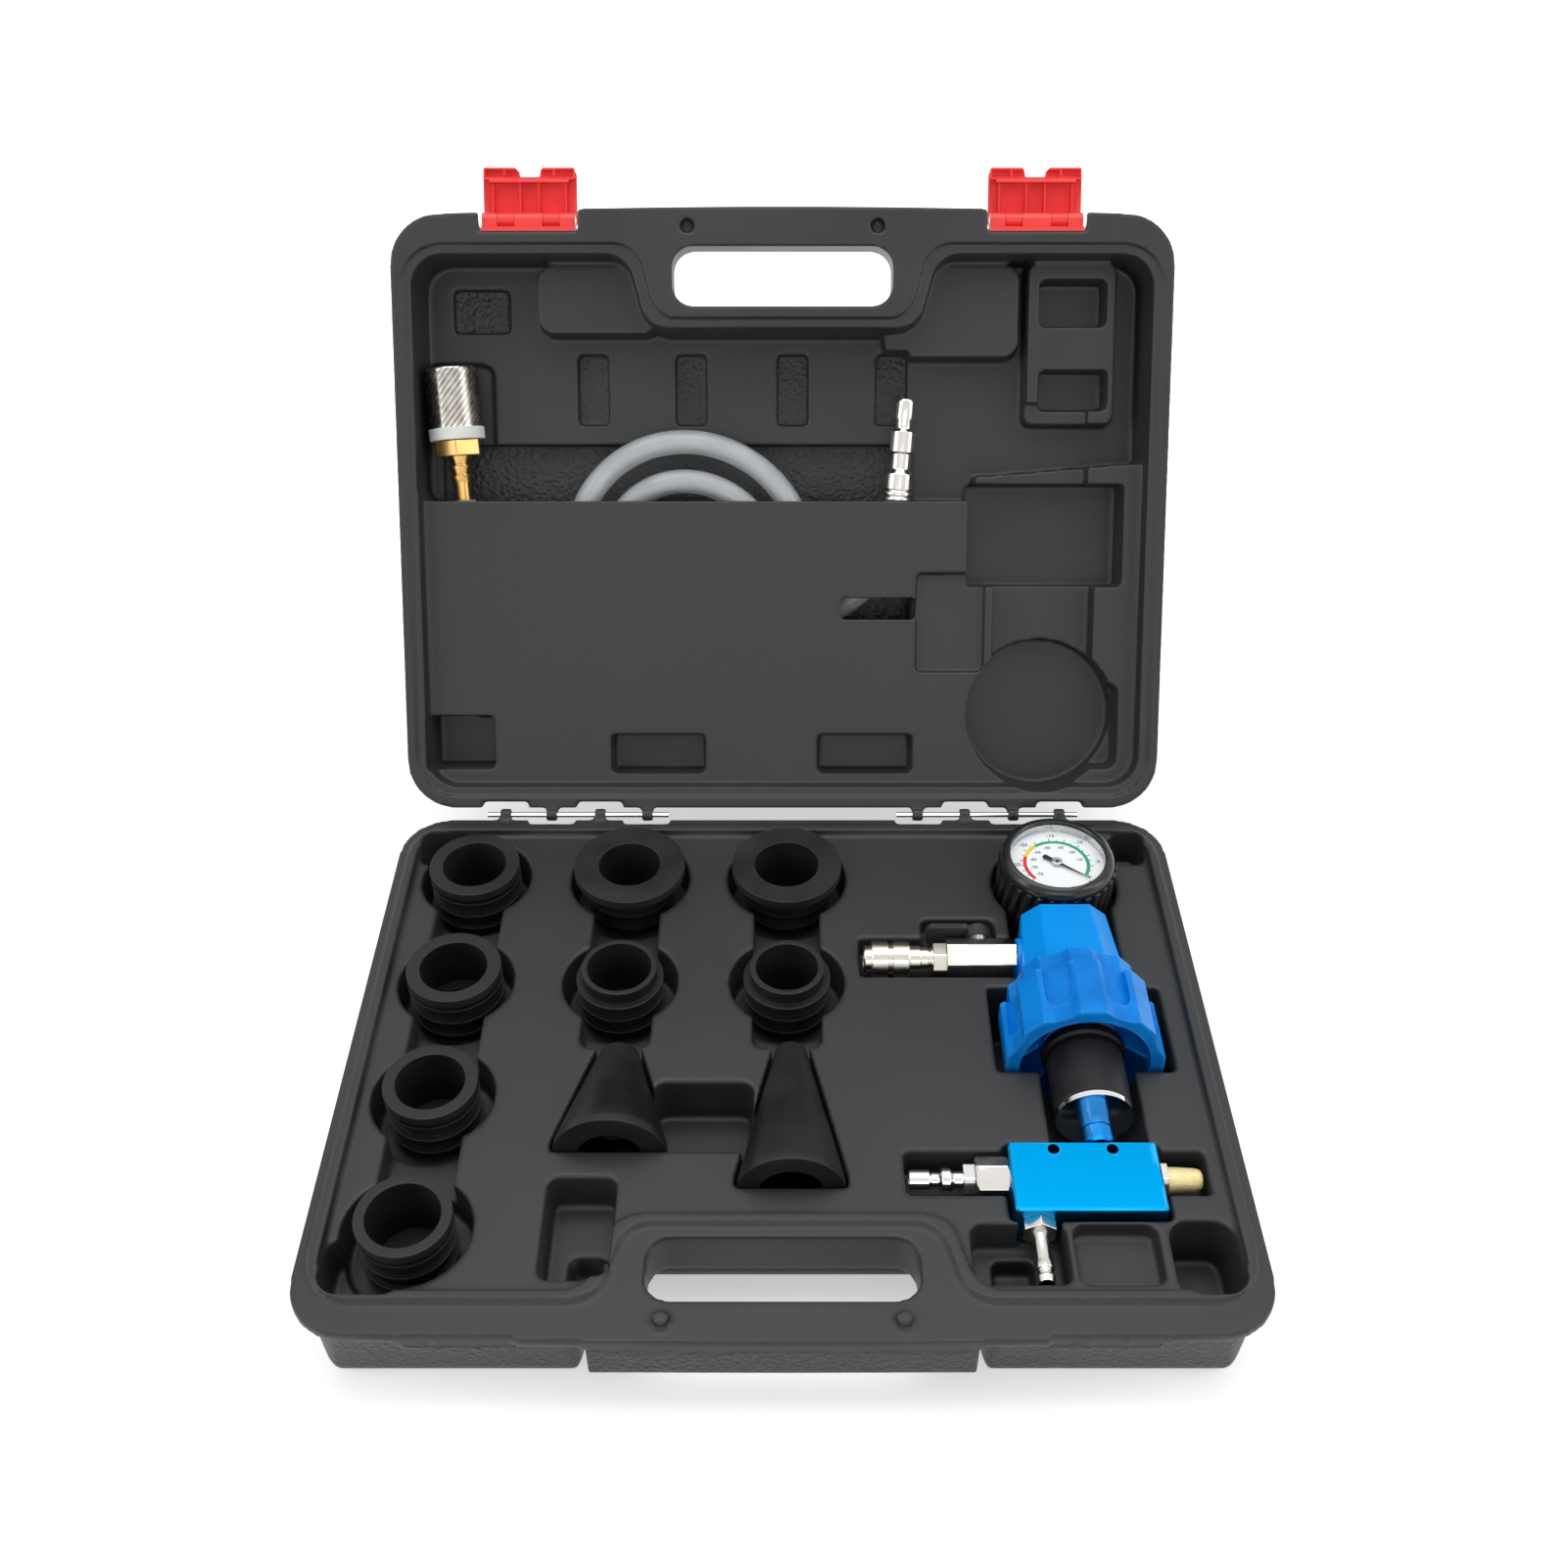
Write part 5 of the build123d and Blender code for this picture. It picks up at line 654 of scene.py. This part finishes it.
# ---- radiator adapters ----
# Eight moulded black rubber sleeves with angled sealing lips; two carry a broad flange. They
# stand in round pockets in three columns.
rubber = finish("black rubber", (0.007, 0.007, 0.0075), (0.013, 0.013, 0.0135), 0.34, 0.52, scale=45,
                highlight_colour=(0.055, 0.056, 0.058), highlight_amount=0.7, depth=0.00006, grain_scale=700, Specular_IOR_Level=0.26)
LIP_R = 21.7
ADAPTER_H, ADAPTER_UP, CAP_H, LEDGE_H = 30.0, 8.0, 4.5, 5.0
LIP_START, LIP_PITCH, LIP_RISE, LIP_LAND = 3.0, 8.0, 3.6, 0.9
COLUMNS = (-149.53, -74.29, 1.995)
ROWS = (45.012, 112.99, 179.393, 246.39)
# Each adapter: column and row, then its lip, sleeve, bore, cap and ledge as shares of LIP_R.
ADAPTERS = (
    (0, 0, 1.0, 0.86, 0.70, 1.0, 0.70), (0, 1, 0.99, 0.86, 0.70, 0.99, 0.46),
    (0, 2, 0.93, 0.80, 0.68, 0.93, 0.68), (0, 3, 0.90, 0.80, 0.69, 0.90, 0.69),
    (1, 0, 1.0, 0.84, 0.68, 1.235, 0.68), (2, 0, 1.0, 0.84, 0.71, 1.22, 0.71),
    (1, 1, 0.92, 0.79, 0.67, 0.79, 0.67), (2, 1, 0.92, 0.78, 0.65, 0.78, 0.65),
)


def adapter_profile(lip, sleeve, bore, cap, ledge):
    """Half the section of an adapter, from its foot up."""
    points = [(ledge, 0), (sleeve, 0)]
    z = LIP_START
    while z + LIP_RISE + LIP_LAND <= ADAPTER_H - CAP_H:
        land = z + LIP_RISE + LIP_LAND
        points += [(sleeve, z), (lip, z + LIP_RISE), (lip, land), (sleeve, land)]
        z += LIP_PITCH
    points += [(sleeve, ADAPTER_H - CAP_H), (cap, ADAPTER_H - CAP_H), (cap, ADAPTER_H), (bore, ADAPTER_H)]
    if cap == sleeve:
        points.pop(-3)
    if ledge < bore:
        points += [(bore, LEDGE_H), (ledge, LEDGE_H)]
    return [p for p, before in zip(points, [None] + points) if p != before]


for number, (column, row, *shares) in enumerate(ADAPTERS, 1):
    shape = eased(turned(adapter_profile(*[LIP_R * s for s in shares]), 96), 0.4)
    spot = base_place @ Matrix.Translation((COLUMNS[column], -ROWS[row], ADAPTER_UP - ADAPTER_H))
    adapter = "adapter_%d" % number
    fitted(shape, "lipped_" + adapter, spot, adapter, rubber, "black_rubber", adapter)

# ---- cones ----
# Two moulded rubber cones for plain filler necks, laid in their pockets with the tip towards
# the hinge. Each is bored from its wide end and pierced at the tip.
CONE_DOWN, CONE_BAND, CONE_BORE_R, CONE_EYE_R = 6.3, 4.0, 13.5, 4.2
# Each cone: node, across, forward, length, radius and the tip's radius.
CONES = (("cone_short", -72.01, 152.493, 55.0, 24.0, 8.5), ("cone_long", 3.61, 150.493, 75.0, 22.5, 6.7))


def lying_forward(x, q, down):
    """A place in the base for a piece made upright that lies towards the front."""
    return base_place @ Matrix.Translation((x, -q, -down)) @ Matrix.Rotation(math.radians(90), 4, "X")


for node, x, q, length, radius, tip in CONES:
    profile = [(CONE_EYE_R, 0), (tip, 0), (radius, length - CONE_BAND), (radius, length), (CONE_BORE_R, length),
               (CONE_BORE_R, length * 2 / 3), (CONE_EYE_R, length * 5 / 12)]
    fitted(eased(turned(profile, 96), 0.5, angle=15), "filler_" + node, lying_forward(x, q, CONE_DOWN), node,
           rubber, "black_rubber", node)

# ---- head: body and knob ----
# The moulded blue body carries the gauge, the valve and the expander. The knob turns on its
# spigot and draws the tube, which squeezes the rubber sleeve.
HEAD_X, HEAD_DOWN = 132.05, 3.0
blue = finish("blue moulding", (0.0, 0.33, 0.92), (0.0, 0.29, 0.85), 0.30, 0.42, scale=35,
              highlight_colour=(0.10, 0.52, 1.0), highlight_amount=0.6, depth=0.00005, grain_scale=450, Specular_IOR_Level=0.2)
knob_blue = finish("knob blue", (0.0, 0.26, 0.80), (0.0, 0.19, 0.66), 0.34, 0.48, scale=70,
                   highlight_colour=(0.08, 0.50, 1.0), highlight_amount=0.8, depth=0.00006, grain_scale=350, Specular_IOR_Level=0.2)
fitted(gridded(eased(copied("head_body"), 0.9, 3, least=4.0), 2.5), "head_moulding", ROW, "head", blue,
       "blue_plastic", "head_body")
fitted(gridded(eased(copied("head_knob"), 0.5, 2, least=3.0), 2.0), "hand_knob", ROW, "head_knob", knob_blue,
       "blue_plastic", "head_knob")

# ---- head: expander ----
# A soft black sleeve on the drawn tube, with a steel washer at its end and a blue anodised nut.
# Turning the knob draws the tube, which squeezes the sleeve; here the sleeve is left unsqueezed.
RUBBER_Q, NUT_Q = 151.9, 190.8
RUBBER_L, DRAWN = 36.5, 3.0
sleeve_profile = [(5.6, 0), (17.3, 0), (18.5, 1.2), (18.5, 4.8), (17.3, 6.0), (15.6, 6.0), (15.6, 7.4),
                  (16.65, 7.8), (16.65, 35.3), (15.45, RUBBER_L), (5.6, RUBBER_L)]
expander = fitted(eased(turned(sleeve_profile, 96), 0.35), "soft_expander",
                  lying_forward(HEAD_X, RUBBER_Q, HEAD_DOWN), "head", rubber, "black_rubber",
                  "expander_rubber")
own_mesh(expander)
anodised = finish("blue anodised", (0.0, 0.26, 0.72), (0.0, 0.21, 0.62), 0.16, 0.30, scale=60,
                  highlight_colour=(0.25, 0.6, 0.95), highlight_amount=0.5, Metallic=1.0, grain_scale=2600)
nut_profile = [(4.2, 12.0), (4.2, 15.0), (5.95, 15.0), (7.15, 13.8), (7.15, 7.5), (6.35, 7.5), (6.35, 6.7),
               (7.15, 6.7), (7.15, 0), (5.2, 0), (5.2, 12.0)]
fitted(eased(turned(nut_profile, 64), 0.15), "draw_nut", lying_forward(HEAD_X, NUT_Q, HEAD_DOWN), "draw_tube",
       anodised, "blue_anodised", "expander_nut")
washer_look = finish("pale washer", (0.72, 0.80, 0.86), (0.62, 0.72, 0.80), 0.25, 0.4, scale=80)
turned_steel = finish("turned steel", (0.62, 0.62, 0.62), (0.52, 0.52, 0.53), 0.2, 0.34, scale=80,
                      Metallic=1.0, grain_scale=2200)
repaint(washer_look, "knob_washer")
repaint(chrome, "expander_washer")
repaint(turned_steel, "head_stem_tube", "coupler_spring", "coupler_balls", "gauge_case", "valve_stem")
repaint(brass, "gauge_stem", "bourdon_tube", "venturi_nozzle")
repaint(white_nylon, "valve_seats")

# ---- gauge ----
# A compound vacuum gauge in a black rubber boot with cleats round its side. The white dial has
# green, yellow and red arcs, and the black needle turns on the movement's arbor.
GAUGE_Q = 49.4
DIAL_LEVEL = 15.0
gauge_place = base_place @ Matrix.Translation((HEAD_X, -GAUGE_Q, -HEAD_DOWN))
BOOT_R, BOOT_CLEATS, CLEAT_H = 27.0, 30, 1.2
BOOT_FOOT, BOOT_TWIST = -8.6, 0.45
boot_profile = [(0, -10.5), (BOOT_R, -10.5), (BOOT_R, -8.5), (BOOT_R, 4.5), (BOOT_R, 16.0), (27.6, 16.6),
                (27.6, 18.6), (26.5, 21.0), (24.8, 22.1), (23.4, 22.1), (22.7, 21.4), (22.6, 20.1),
                (24.35, 20.05), (24.35, -7.95), (0, -7.95)]


def boot_column(middle):
    """The number of the boot's narrow strip that a face's middle lies in."""
    return round(math.degrees(math.atan2(middle.y, middle.x)) * BOOT_CLEATS / 120 - 0.5)


boot = turned(boot_profile, 3 * BOOT_CLEATS)
middles = [(f, f.calc_center_median()) for f in boot.faces]
cleats = [f for f, middle in middles
          if abs(middle.xy.length - BOOT_R) < 0.2 and -8 < middle.z < 16 and boot_column(middle) % 3]
bmesh.ops.inset_region(boot, faces=cleats, thickness=0.45, depth=0.0, use_even_offset=True)
for vert in {v for f in cleats for v in f.verts}:
    reach = vert.co.xy.length
    vert.co.x *= (reach + CLEAT_H) / reach
    vert.co.y *= (reach + CLEAT_H) / reach
for vert in boot.verts:
    if vert.co.z > BOOT_FOOT and vert.co.xy.length > 26.5:
        vert.co.rotate(Matrix.Rotation(math.radians(BOOT_TWIST * (vert.co.z - BOOT_FOOT)), 3, "Z"))
boot_look = finish("boot rubber", (0.004, 0.004, 0.0045), (0.008, 0.008, 0.0085), 0.14, 0.28, scale=60,
                   highlight_colour=(0.06, 0.06, 0.065), highlight_amount=0.7, depth=0.00002, grain_scale=900, Specular_IOR_Level=0.45)
fitted(boot, "gauge_cover", gauge_place, "head", boot_look, "black_rubber", "gauge_boot")
dial_white = finish("dial white", (0.87, 0.88, 0.88), (0.83, 0.84, 0.84), 0.3, 0.42, scale=40, depth=0.0)
repaint(dial_white, "gauge_dial")
clear_glass = finish("lens", (0.97, 0.98, 0.99), (0.95, 0.97, 0.98), 0.01, 0.03, depth=0.0,
                     Transmission_Weight=1.0, IOR=1.12)
repaint(clear_glass, "gauge_lens")
ARC_IN, ARC_OUT, INK_UP = 14.4, 16.1, 0.06
DIAL_START, TICK_TURN, TICK_COUNT = -30, 12.6, 21
# Each arc: colour's name, start and end in degrees, and colour.
ARCS = (("green", DIAL_START, 126, (0.02, 0.36, 0.16)), ("yellow", 126, 161, (0.85, 0.58, 0.02)),
        ("red", 161, 222, (0.70, 0.02, 0.02)))
ink_place = gauge_place @ Matrix.Translation((0, 0, DIAL_LEVEL + INK_UP))


def ring_part(inner, outer, start, end):
    """A flat part of a ring, from one angle to another, in degrees."""
    shape = bmesh.new()
    angle = math.radians(start)
    first = [shape.verts.new((r * math.cos(angle), r * math.sin(angle), 0)) for r in (inner, outer)]
    edge = shape.edges.new(first)
    bmesh.ops.spin(shape, geom=first + [edge], cent=(0, 0, 0), axis=(0, 0, 1), dvec=(0, 0, 0),
                   angle=math.radians(end - start), steps=max(2, round((end - start) / 4)))
    bmesh.ops.recalc_face_normals(shape, faces=shape.faces)
    if shape.faces[:][0].normal.z < 0:
        bmesh.ops.reverse_faces(shape, faces=shape.faces)
    return shape


def ink(name, colour):
    """Printed ink, a little uneven."""
    return finish(name, colour, tuple(c * 0.85 for c in colour), 0.35, 0.5, scale=300, depth=0.0)


for label, start, end, colour in ARCS:
    fitted(ring_part(ARC_IN, ARC_OUT, start, end), "dial_arc_" + label, ink_place, "head",
           ink(label + " ink", colour), "dial_white")
black_ink = ink("black ink", (0.02, 0.02, 0.02))
TICK_IN, LONG_TICK, SHORT_TICK, TICK_HALF = 16.2, 17.8, 17.0, 0.7
tick_angles = [DIAL_START + TICK_TURN * k for k in range(TICK_COUNT)]
TICKS = [ring_part(TICK_IN, LONG_TICK if i % 2 == 0 else SHORT_TICK, a - TICK_HALF, a + TICK_HALF)
         for i, a in enumerate(tick_angles)]
# Each number: its text, distance from the dial's middle, angle in degrees and size.
NUMBERS = (("0", 19.5, -42, 3.0), ("-5", 20.0, 4, 3.0), ("-10", 19.7, 50, 3.0), ("-15", 19.7, 92, 3.0),
           ("-20", 19.7, 138, 3.0), ("-25", 19.4, 182, 3.0), ("-30", 19.2, 222, 3.0), ("-10", 11.6, 14, 2.6),
           ("-20", 11.6, 44, 2.6), ("-30", 11.8, 75, 2.6), ("-40", 11.6, 107, 2.6), ("-50", 11.6, 137, 2.6),
           ("-60", 11.4, 165, 2.6), ("-70", 11.4, 193, 2.6), ("-76", 11.4, 219, 2.6))
NUMBER_WEIGHT = 0.045


def number_shape(text, size):
    """A printed number as flat faces, centred."""
    letters = bpy.data.curves.new("number", "FONT")
    letters.body, letters.size = text, size
    letters.align_x, letters.align_y = "CENTER", "CENTER"
    letters.offset = NUMBER_WEIGHT
    holder = bpy.data.objects.new("number", letters)
    scene.collection.objects.link(holder)
    mesh = bpy.data.meshes.new_from_object(holder.evaluated_get(bpy.context.evaluated_depsgraph_get()))
    bpy.data.objects.remove(holder)
    shape = bmesh.new()
    shape.from_mesh(mesh)
    bpy.data.meshes.remove(mesh)
    return shape


marks = TICKS
for text, reach, angle, size in NUMBERS:
    shape = number_shape(text, size)
    spot = (reach * math.cos(math.radians(angle)), reach * math.sin(math.radians(angle)), 0)
    bmesh.ops.translate(shape, verts=shape.verts, vec=spot)
    marks.append(shape)
fitted(joined(*marks), "dial_marks", ink_place, "head", black_ink, "dial_white")
SCREW_SPOTS = ((-6.2, -17.6), (6.2, -17.6))
screws = []
for x, y in SCREW_SPOTS:
    screw = eased(turned([(0, 0), (1.5, 0), (1.5, 0.5), (1.1, 0.9), (0, 0.9)], 24), 0.1)
    bmesh.ops.translate(screw, verts=screw.verts, vec=(x, y, 0))
    screws.append(screw)
fitted(joined(*screws), "dial_screws", gauge_place @ Matrix.Translation((0, 0, DIAL_LEVEL)), "head",
       turned_steel, "steel")
black_paint = finish("black paint", (0.012, 0.012, 0.013), (0.02, 0.02, 0.021), 0.3, 0.42, scale=80,
                     highlight_colour=(0.08, 0.08, 0.08), highlight_amount=0.4, depth=0.00001)
NEEDLE_LEVEL, NEEDLE_REST = 15.9, math.radians(-37.0)
needle = bmesh.new()
outline = [(18.5, 0.16), (18.5, -0.16), (0, -0.65), (-2.0, -0.9), (-6.6, -1.35), (-7.5, -0.9), (-7.5, 0.9),
           (-6.6, 1.35), (-2.0, 0.9), (0, 0.65)]
hand = needle.faces.new([needle.verts.new((x, y, 0)) for x, y in reversed(outline)])
lifted = bmesh.ops.extrude_face_region(needle, geom=[hand])["geom"]
lifted_verts = [v for v in lifted if isinstance(v, bmesh.types.BMVert)]
bmesh.ops.translate(needle, verts=lifted_verts, vec=(0, 0, 0.5))
bmesh.ops.recalc_face_normals(needle, faces=needle.faces)
hub = eased(turned([(0.8, 0), (2.5, 0), (2.5, 1.1), (2.0, 1.5), (1.3, 1.5), (1.1, 0.9), (0.8, 0.9)], 32), 0.1)
arbor = turned([(0, -3.3), (0.8, -3.3), (0.8, 1.2), (0, 1.2)], 16)
needle_place = gauge_place @ Matrix.Translation((0, 0, NEEDLE_LEVEL)) @ Matrix.Rotation(NEEDLE_REST, 4, "Z")
fitted(joined(eased(needle, 0.08), arbor), "needle_hand", needle_place, "gauge_needle", black_paint,
       "black_paint", "gauge_needle")
fitted(hub, "needle_hub", needle_place, "gauge_needle", turned_steel, "steel")

# ---- valve ----
# A nickel-plated ball valve between the body and the coupler, with a flat black lever held by
# a screw on its stem. The solid's round waist is covered by a tube, as the real body is a plain
# hexagon bar.
VALVE_Q = 97.8
nickel = finish("nickel plate", (0.70, 0.66, 0.58), (0.60, 0.56, 0.49), 0.14, 0.28, scale=70,
                highlight_colour=(0.86, 0.82, 0.74), highlight_amount=0.5, Metallic=1.0, grain_scale=2000)
VALVE_LEFT_X, VALVE_HEX, VALVE_SKIN_HEX = 76.05, 17.0, 14.6
WAIST_OUT, WAIST_L = 10.0, 12.0


def hexagon_tube(across_flats, bore_across, length):
    """A hexagon bar with a hexagon hole through it."""
    shape = bmesh.new()
    for flats in (across_flats, bore_across):
        made = bmesh.ops.create_cone(shape, cap_ends=False, segments=6, radius1=flats / math.sqrt(3),
                                     radius2=flats / math.sqrt(3), depth=length)
        bmesh.ops.translate(shape, verts=made["verts"], vec=(0, 0, length / 2))
    for level in (0, length):
        rims = [e for e in shape.edges if all(abs(v.co.z - level) < 0.01 for v in e.verts)]
        bmesh.ops.bridge_loops(shape, edges=rims)
    bmesh.ops.recalc_face_normals(shape, faces=shape.faces)
    return shape


def lying_right(x, q, down):
    """A place in the base for a piece made upright that lies towards the right."""
    return base_place @ Matrix.Translation((x, -q, -down)) @ Matrix.Rotation(math.radians(90), 4, "Y")


valve_place = lying_right(VALVE_LEFT_X, VALVE_Q, HEAD_DOWN)
valve_skin = hexagon_tube(VALVE_HEX, VALVE_SKIN_HEX, WAIST_L)
bmesh.ops.translate(valve_skin, verts=valve_skin.verts, vec=(0, 0, WAIST_OUT))
valve_skin.transform(Matrix.Scale(1 / MM, 4) @ valve_place @ Matrix.Rotation(math.radians(30), 4, "Z"))
polished_nickel = finish("polished nickel", (0.93, 0.91, 0.85), (0.84, 0.82, 0.76), 0.12, 0.24, scale=60,
                         highlight_colour=(0.97, 0.95, 0.9), highlight_amount=0.4, Metallic=1.0, grain_scale=2000)
valve_shape = gridded(joined(eased(copied("valve_body"), 0.35, least=2.5), valve_skin), 2.0)
fitted(valve_shape, "ball_valve", ROW, "head", polished_nickel, "plated_steel", "valve_body")
fitted(eased(copied("valve_lever"), 0.5, 3, least=2.0), "valve_handle", ROW, "valve_lever", black_paint,
       "black_paint", "valve_lever")
repaint(nickel, "valve_nipple", "valve_ball")
repaint(chrome, "valve_lever_screw")

# ---- quick coupler ----
# A turned coupler screwed into the valve, with a sliding sleeve that has two knurled bands. It
# lies towards the left, from the valve's left end.


def lying_left(x, q, down):
    """A place in the base for a piece made upright that lies towards the left."""
    return base_place @ Matrix.Translation((x, -q, -down)) @ Matrix.Rotation(math.radians(-90), 4, "Y")


coupler_place = lying_left(VALVE_LEFT_X, VALVE_Q, HEAD_DOWN)
hex_bar = hexagon(13.5, 6.3, 0.8)
coupler_profile = [(2.4, -6.0), (5.0, -6.0), (5.0, 0), (5.75, 0.2), (5.75, 7.2), (5.2, 7.4), (5.2, 8.4),
                   (5.75, 8.6), (5.75, 12.0), (6.25, 12.2), (6.25, 37.7), (5.7, 38.4), (5.0, 38.4),
                   (5.0, 21.4), (2.4, 21.4)]
fitted(joined(eased(turned(coupler_profile, 48), 0.15), hex_bar), "coupler_barrel", coupler_place, "head",
       nickel, "plated_steel", "coupler_body")
GRIP_R, GRIP_OUT = 8.65, 17.2
GRIP_STEPS, GRIP_ROWS, GRIP_KNURL = 56, 6, 0.6
grip_profile = [(7.6, 0), (8.1, 0)] + banded(GRIP_R, 0.5, 7.5, GRIP_ROWS) + [(7.25, 7.7), (7.25, 9.9)]
grip_profile += banded(GRIP_R, 10.1, 17.1, GRIP_ROWS) + [(8.1, 17.6), (6.35, 17.6), (6.35, 7.0), (7.6, 7.0)]
grip = turned(grip_profile, GRIP_STEPS)
for low, high in ((0.5, 7.5), (10.1, 17.1)):
    knurled(grip, low, high, GRIP_ROWS, GRIP_STEPS, GRIP_KNURL)
fitted(grip, "coupler_grip", coupler_place @ Matrix.Translation((0, 0, GRIP_OUT)), "coupler_sleeve", nickel,
       "plated_steel", "coupler_sleeve")

# ---- venturi block ----
# A blue anodised block drilled right through, with a quick plug for air, a vacuum plug in its
# front, and a sintered bronze silencer at its other end.
BLOCK_X, BLOCK_Q, BLOCK_W = 123.747, 206.8, 61.5
# The block's lighter colour along its edges is a painted highlight.
sky_anodised = finish("bright blue anodised", (0.0, 0.275, 0.60), (0.0, 0.26, 0.57), 0.26, 0.34, scale=25,
                      highlight_colour=(0.06, 0.46, 0.86), highlight_amount=0.6, Metallic=1.0, grain_scale=1600)
fitted(gridded(copied("venturi_block", whole=False), 2.0), "venturi_body", ROW, "venturi", sky_anodised,
       "blue_anodised", "venturi_block")
PORT_Q, PORT_DOWN = 219.0, 7.0
BLOCK_LEFT, BLOCK_RIGHT = BLOCK_X - BLOCK_W / 2, BLOCK_X + BLOCK_W / 2
port_left = lying_left(BLOCK_LEFT, PORT_Q, PORT_DOWN)
port_right = lying_right(BLOCK_RIGHT, PORT_Q, PORT_DOWN)
fitted(eased(copied("air_plug_adapter"), 0.35, least=2.5), "air_fitting", ROW, "venturi", bright_nickel,
       "plated_steel", "air_plug_adapter")
AIR_R, AIR_L, AIR_OUT = 4.5, 27.0, 14.0
AIR_SHARES = ((1.3, 0.0), (1.3, 0.18), (0.86, 0.19), (0.86, 0.32), (1.16, 0.38), (1.16, 0.50), (0.78, 0.56),
              (0.78, 0.66), (1.0, 0.70), (1.0, 1.0))
air_profile = [(2.4, -6.0), (AIR_R, -6.0), (AIR_R, 0.0)] + [(AIR_R * r, AIR_L * z) for r, z in AIR_SHARES]
air_profile.append((2.4, AIR_L))
air_hex = hexagon(12.5, 5.0, 0.8)
fitted(joined(eased(turned(air_profile, 48), 0.3), air_hex), "air_nipple",
       port_left @ Matrix.Translation((0, 0, AIR_OUT)), "venturi", chrome, "plated_steel", "air_plug")
VACUUM_IN, BLOCK_D = 10.0, 33.5
VACUUM_R, VACUUM_HEX_L, VACUUM_L = 3.9, 5.0, 22.6
vacuum_place = lying_forward(BLOCK_LEFT + VACUUM_IN, BLOCK_Q + BLOCK_D, PORT_DOWN)
VACUUM_SHARES = ((1.0, 0.0), (0.84, 0.12), (0.84, 0.55), (1.0, 0.60), (1.0, 0.72), (0.8, 0.75), (0.8, 0.84),
                 (1.0, 0.88), (0.86, 1.0))
vacuum_profile = [(2.4, -7.0), (4.0, -7.0), (4.0, 0), (VACUUM_R, VACUUM_HEX_L)]
vacuum_profile += [(VACUUM_R * r, VACUUM_HEX_L + VACUUM_L * z) for r, z in VACUUM_SHARES] + [(2.4, 27.6)]
vacuum_hex = hexagon(13.0, VACUUM_HEX_L, 0.8)
fitted(joined(eased(turned(vacuum_profile, 48), 0.25), vacuum_hex), "vacuum_nipple", vacuum_place, "venturi",
       bright_nickel, "plated_steel", "vacuum_plug")
SILENCER_HEX_L = 3.4
silencer_tail = turned([(2.4, -7), (4.4, -7), (4.4, 0), (2.4, 0)], 32)
silencer_hex = joined(hexagon(13.0, SILENCER_HEX_L, 0.6), silencer_tail)
fitted(silencer_hex, "silencer_nut", port_right, "venturi", bright_nickel, "plated_steel", "silencer_hex")
sintered = finish("sintered bronze", (1.0, 0.84, 0.44), (0.90, 0.70, 0.32), 0.4, 0.55, scale=700,
                  depth=0.00015, grain_scale=1400, pebbles=1.0, fine=0.3, Metallic=0.25)
silencer_profile = [(0, 0.0), (5.18, 0.0), (5.4, 0.7), (5.3, 4.5), (5.1, 8.0), (4.85, 11.5), (4.5, 13.4),
                    (3.6, 14.5), (0, 14.5)]
fitted(eased(turned(silencer_profile, 48), 0.3), "bronze_silencer",
       port_right @ Matrix.Translation((0, 0, SILENCER_HEX_L)), "venturi", sintered, "brass", "silencer")
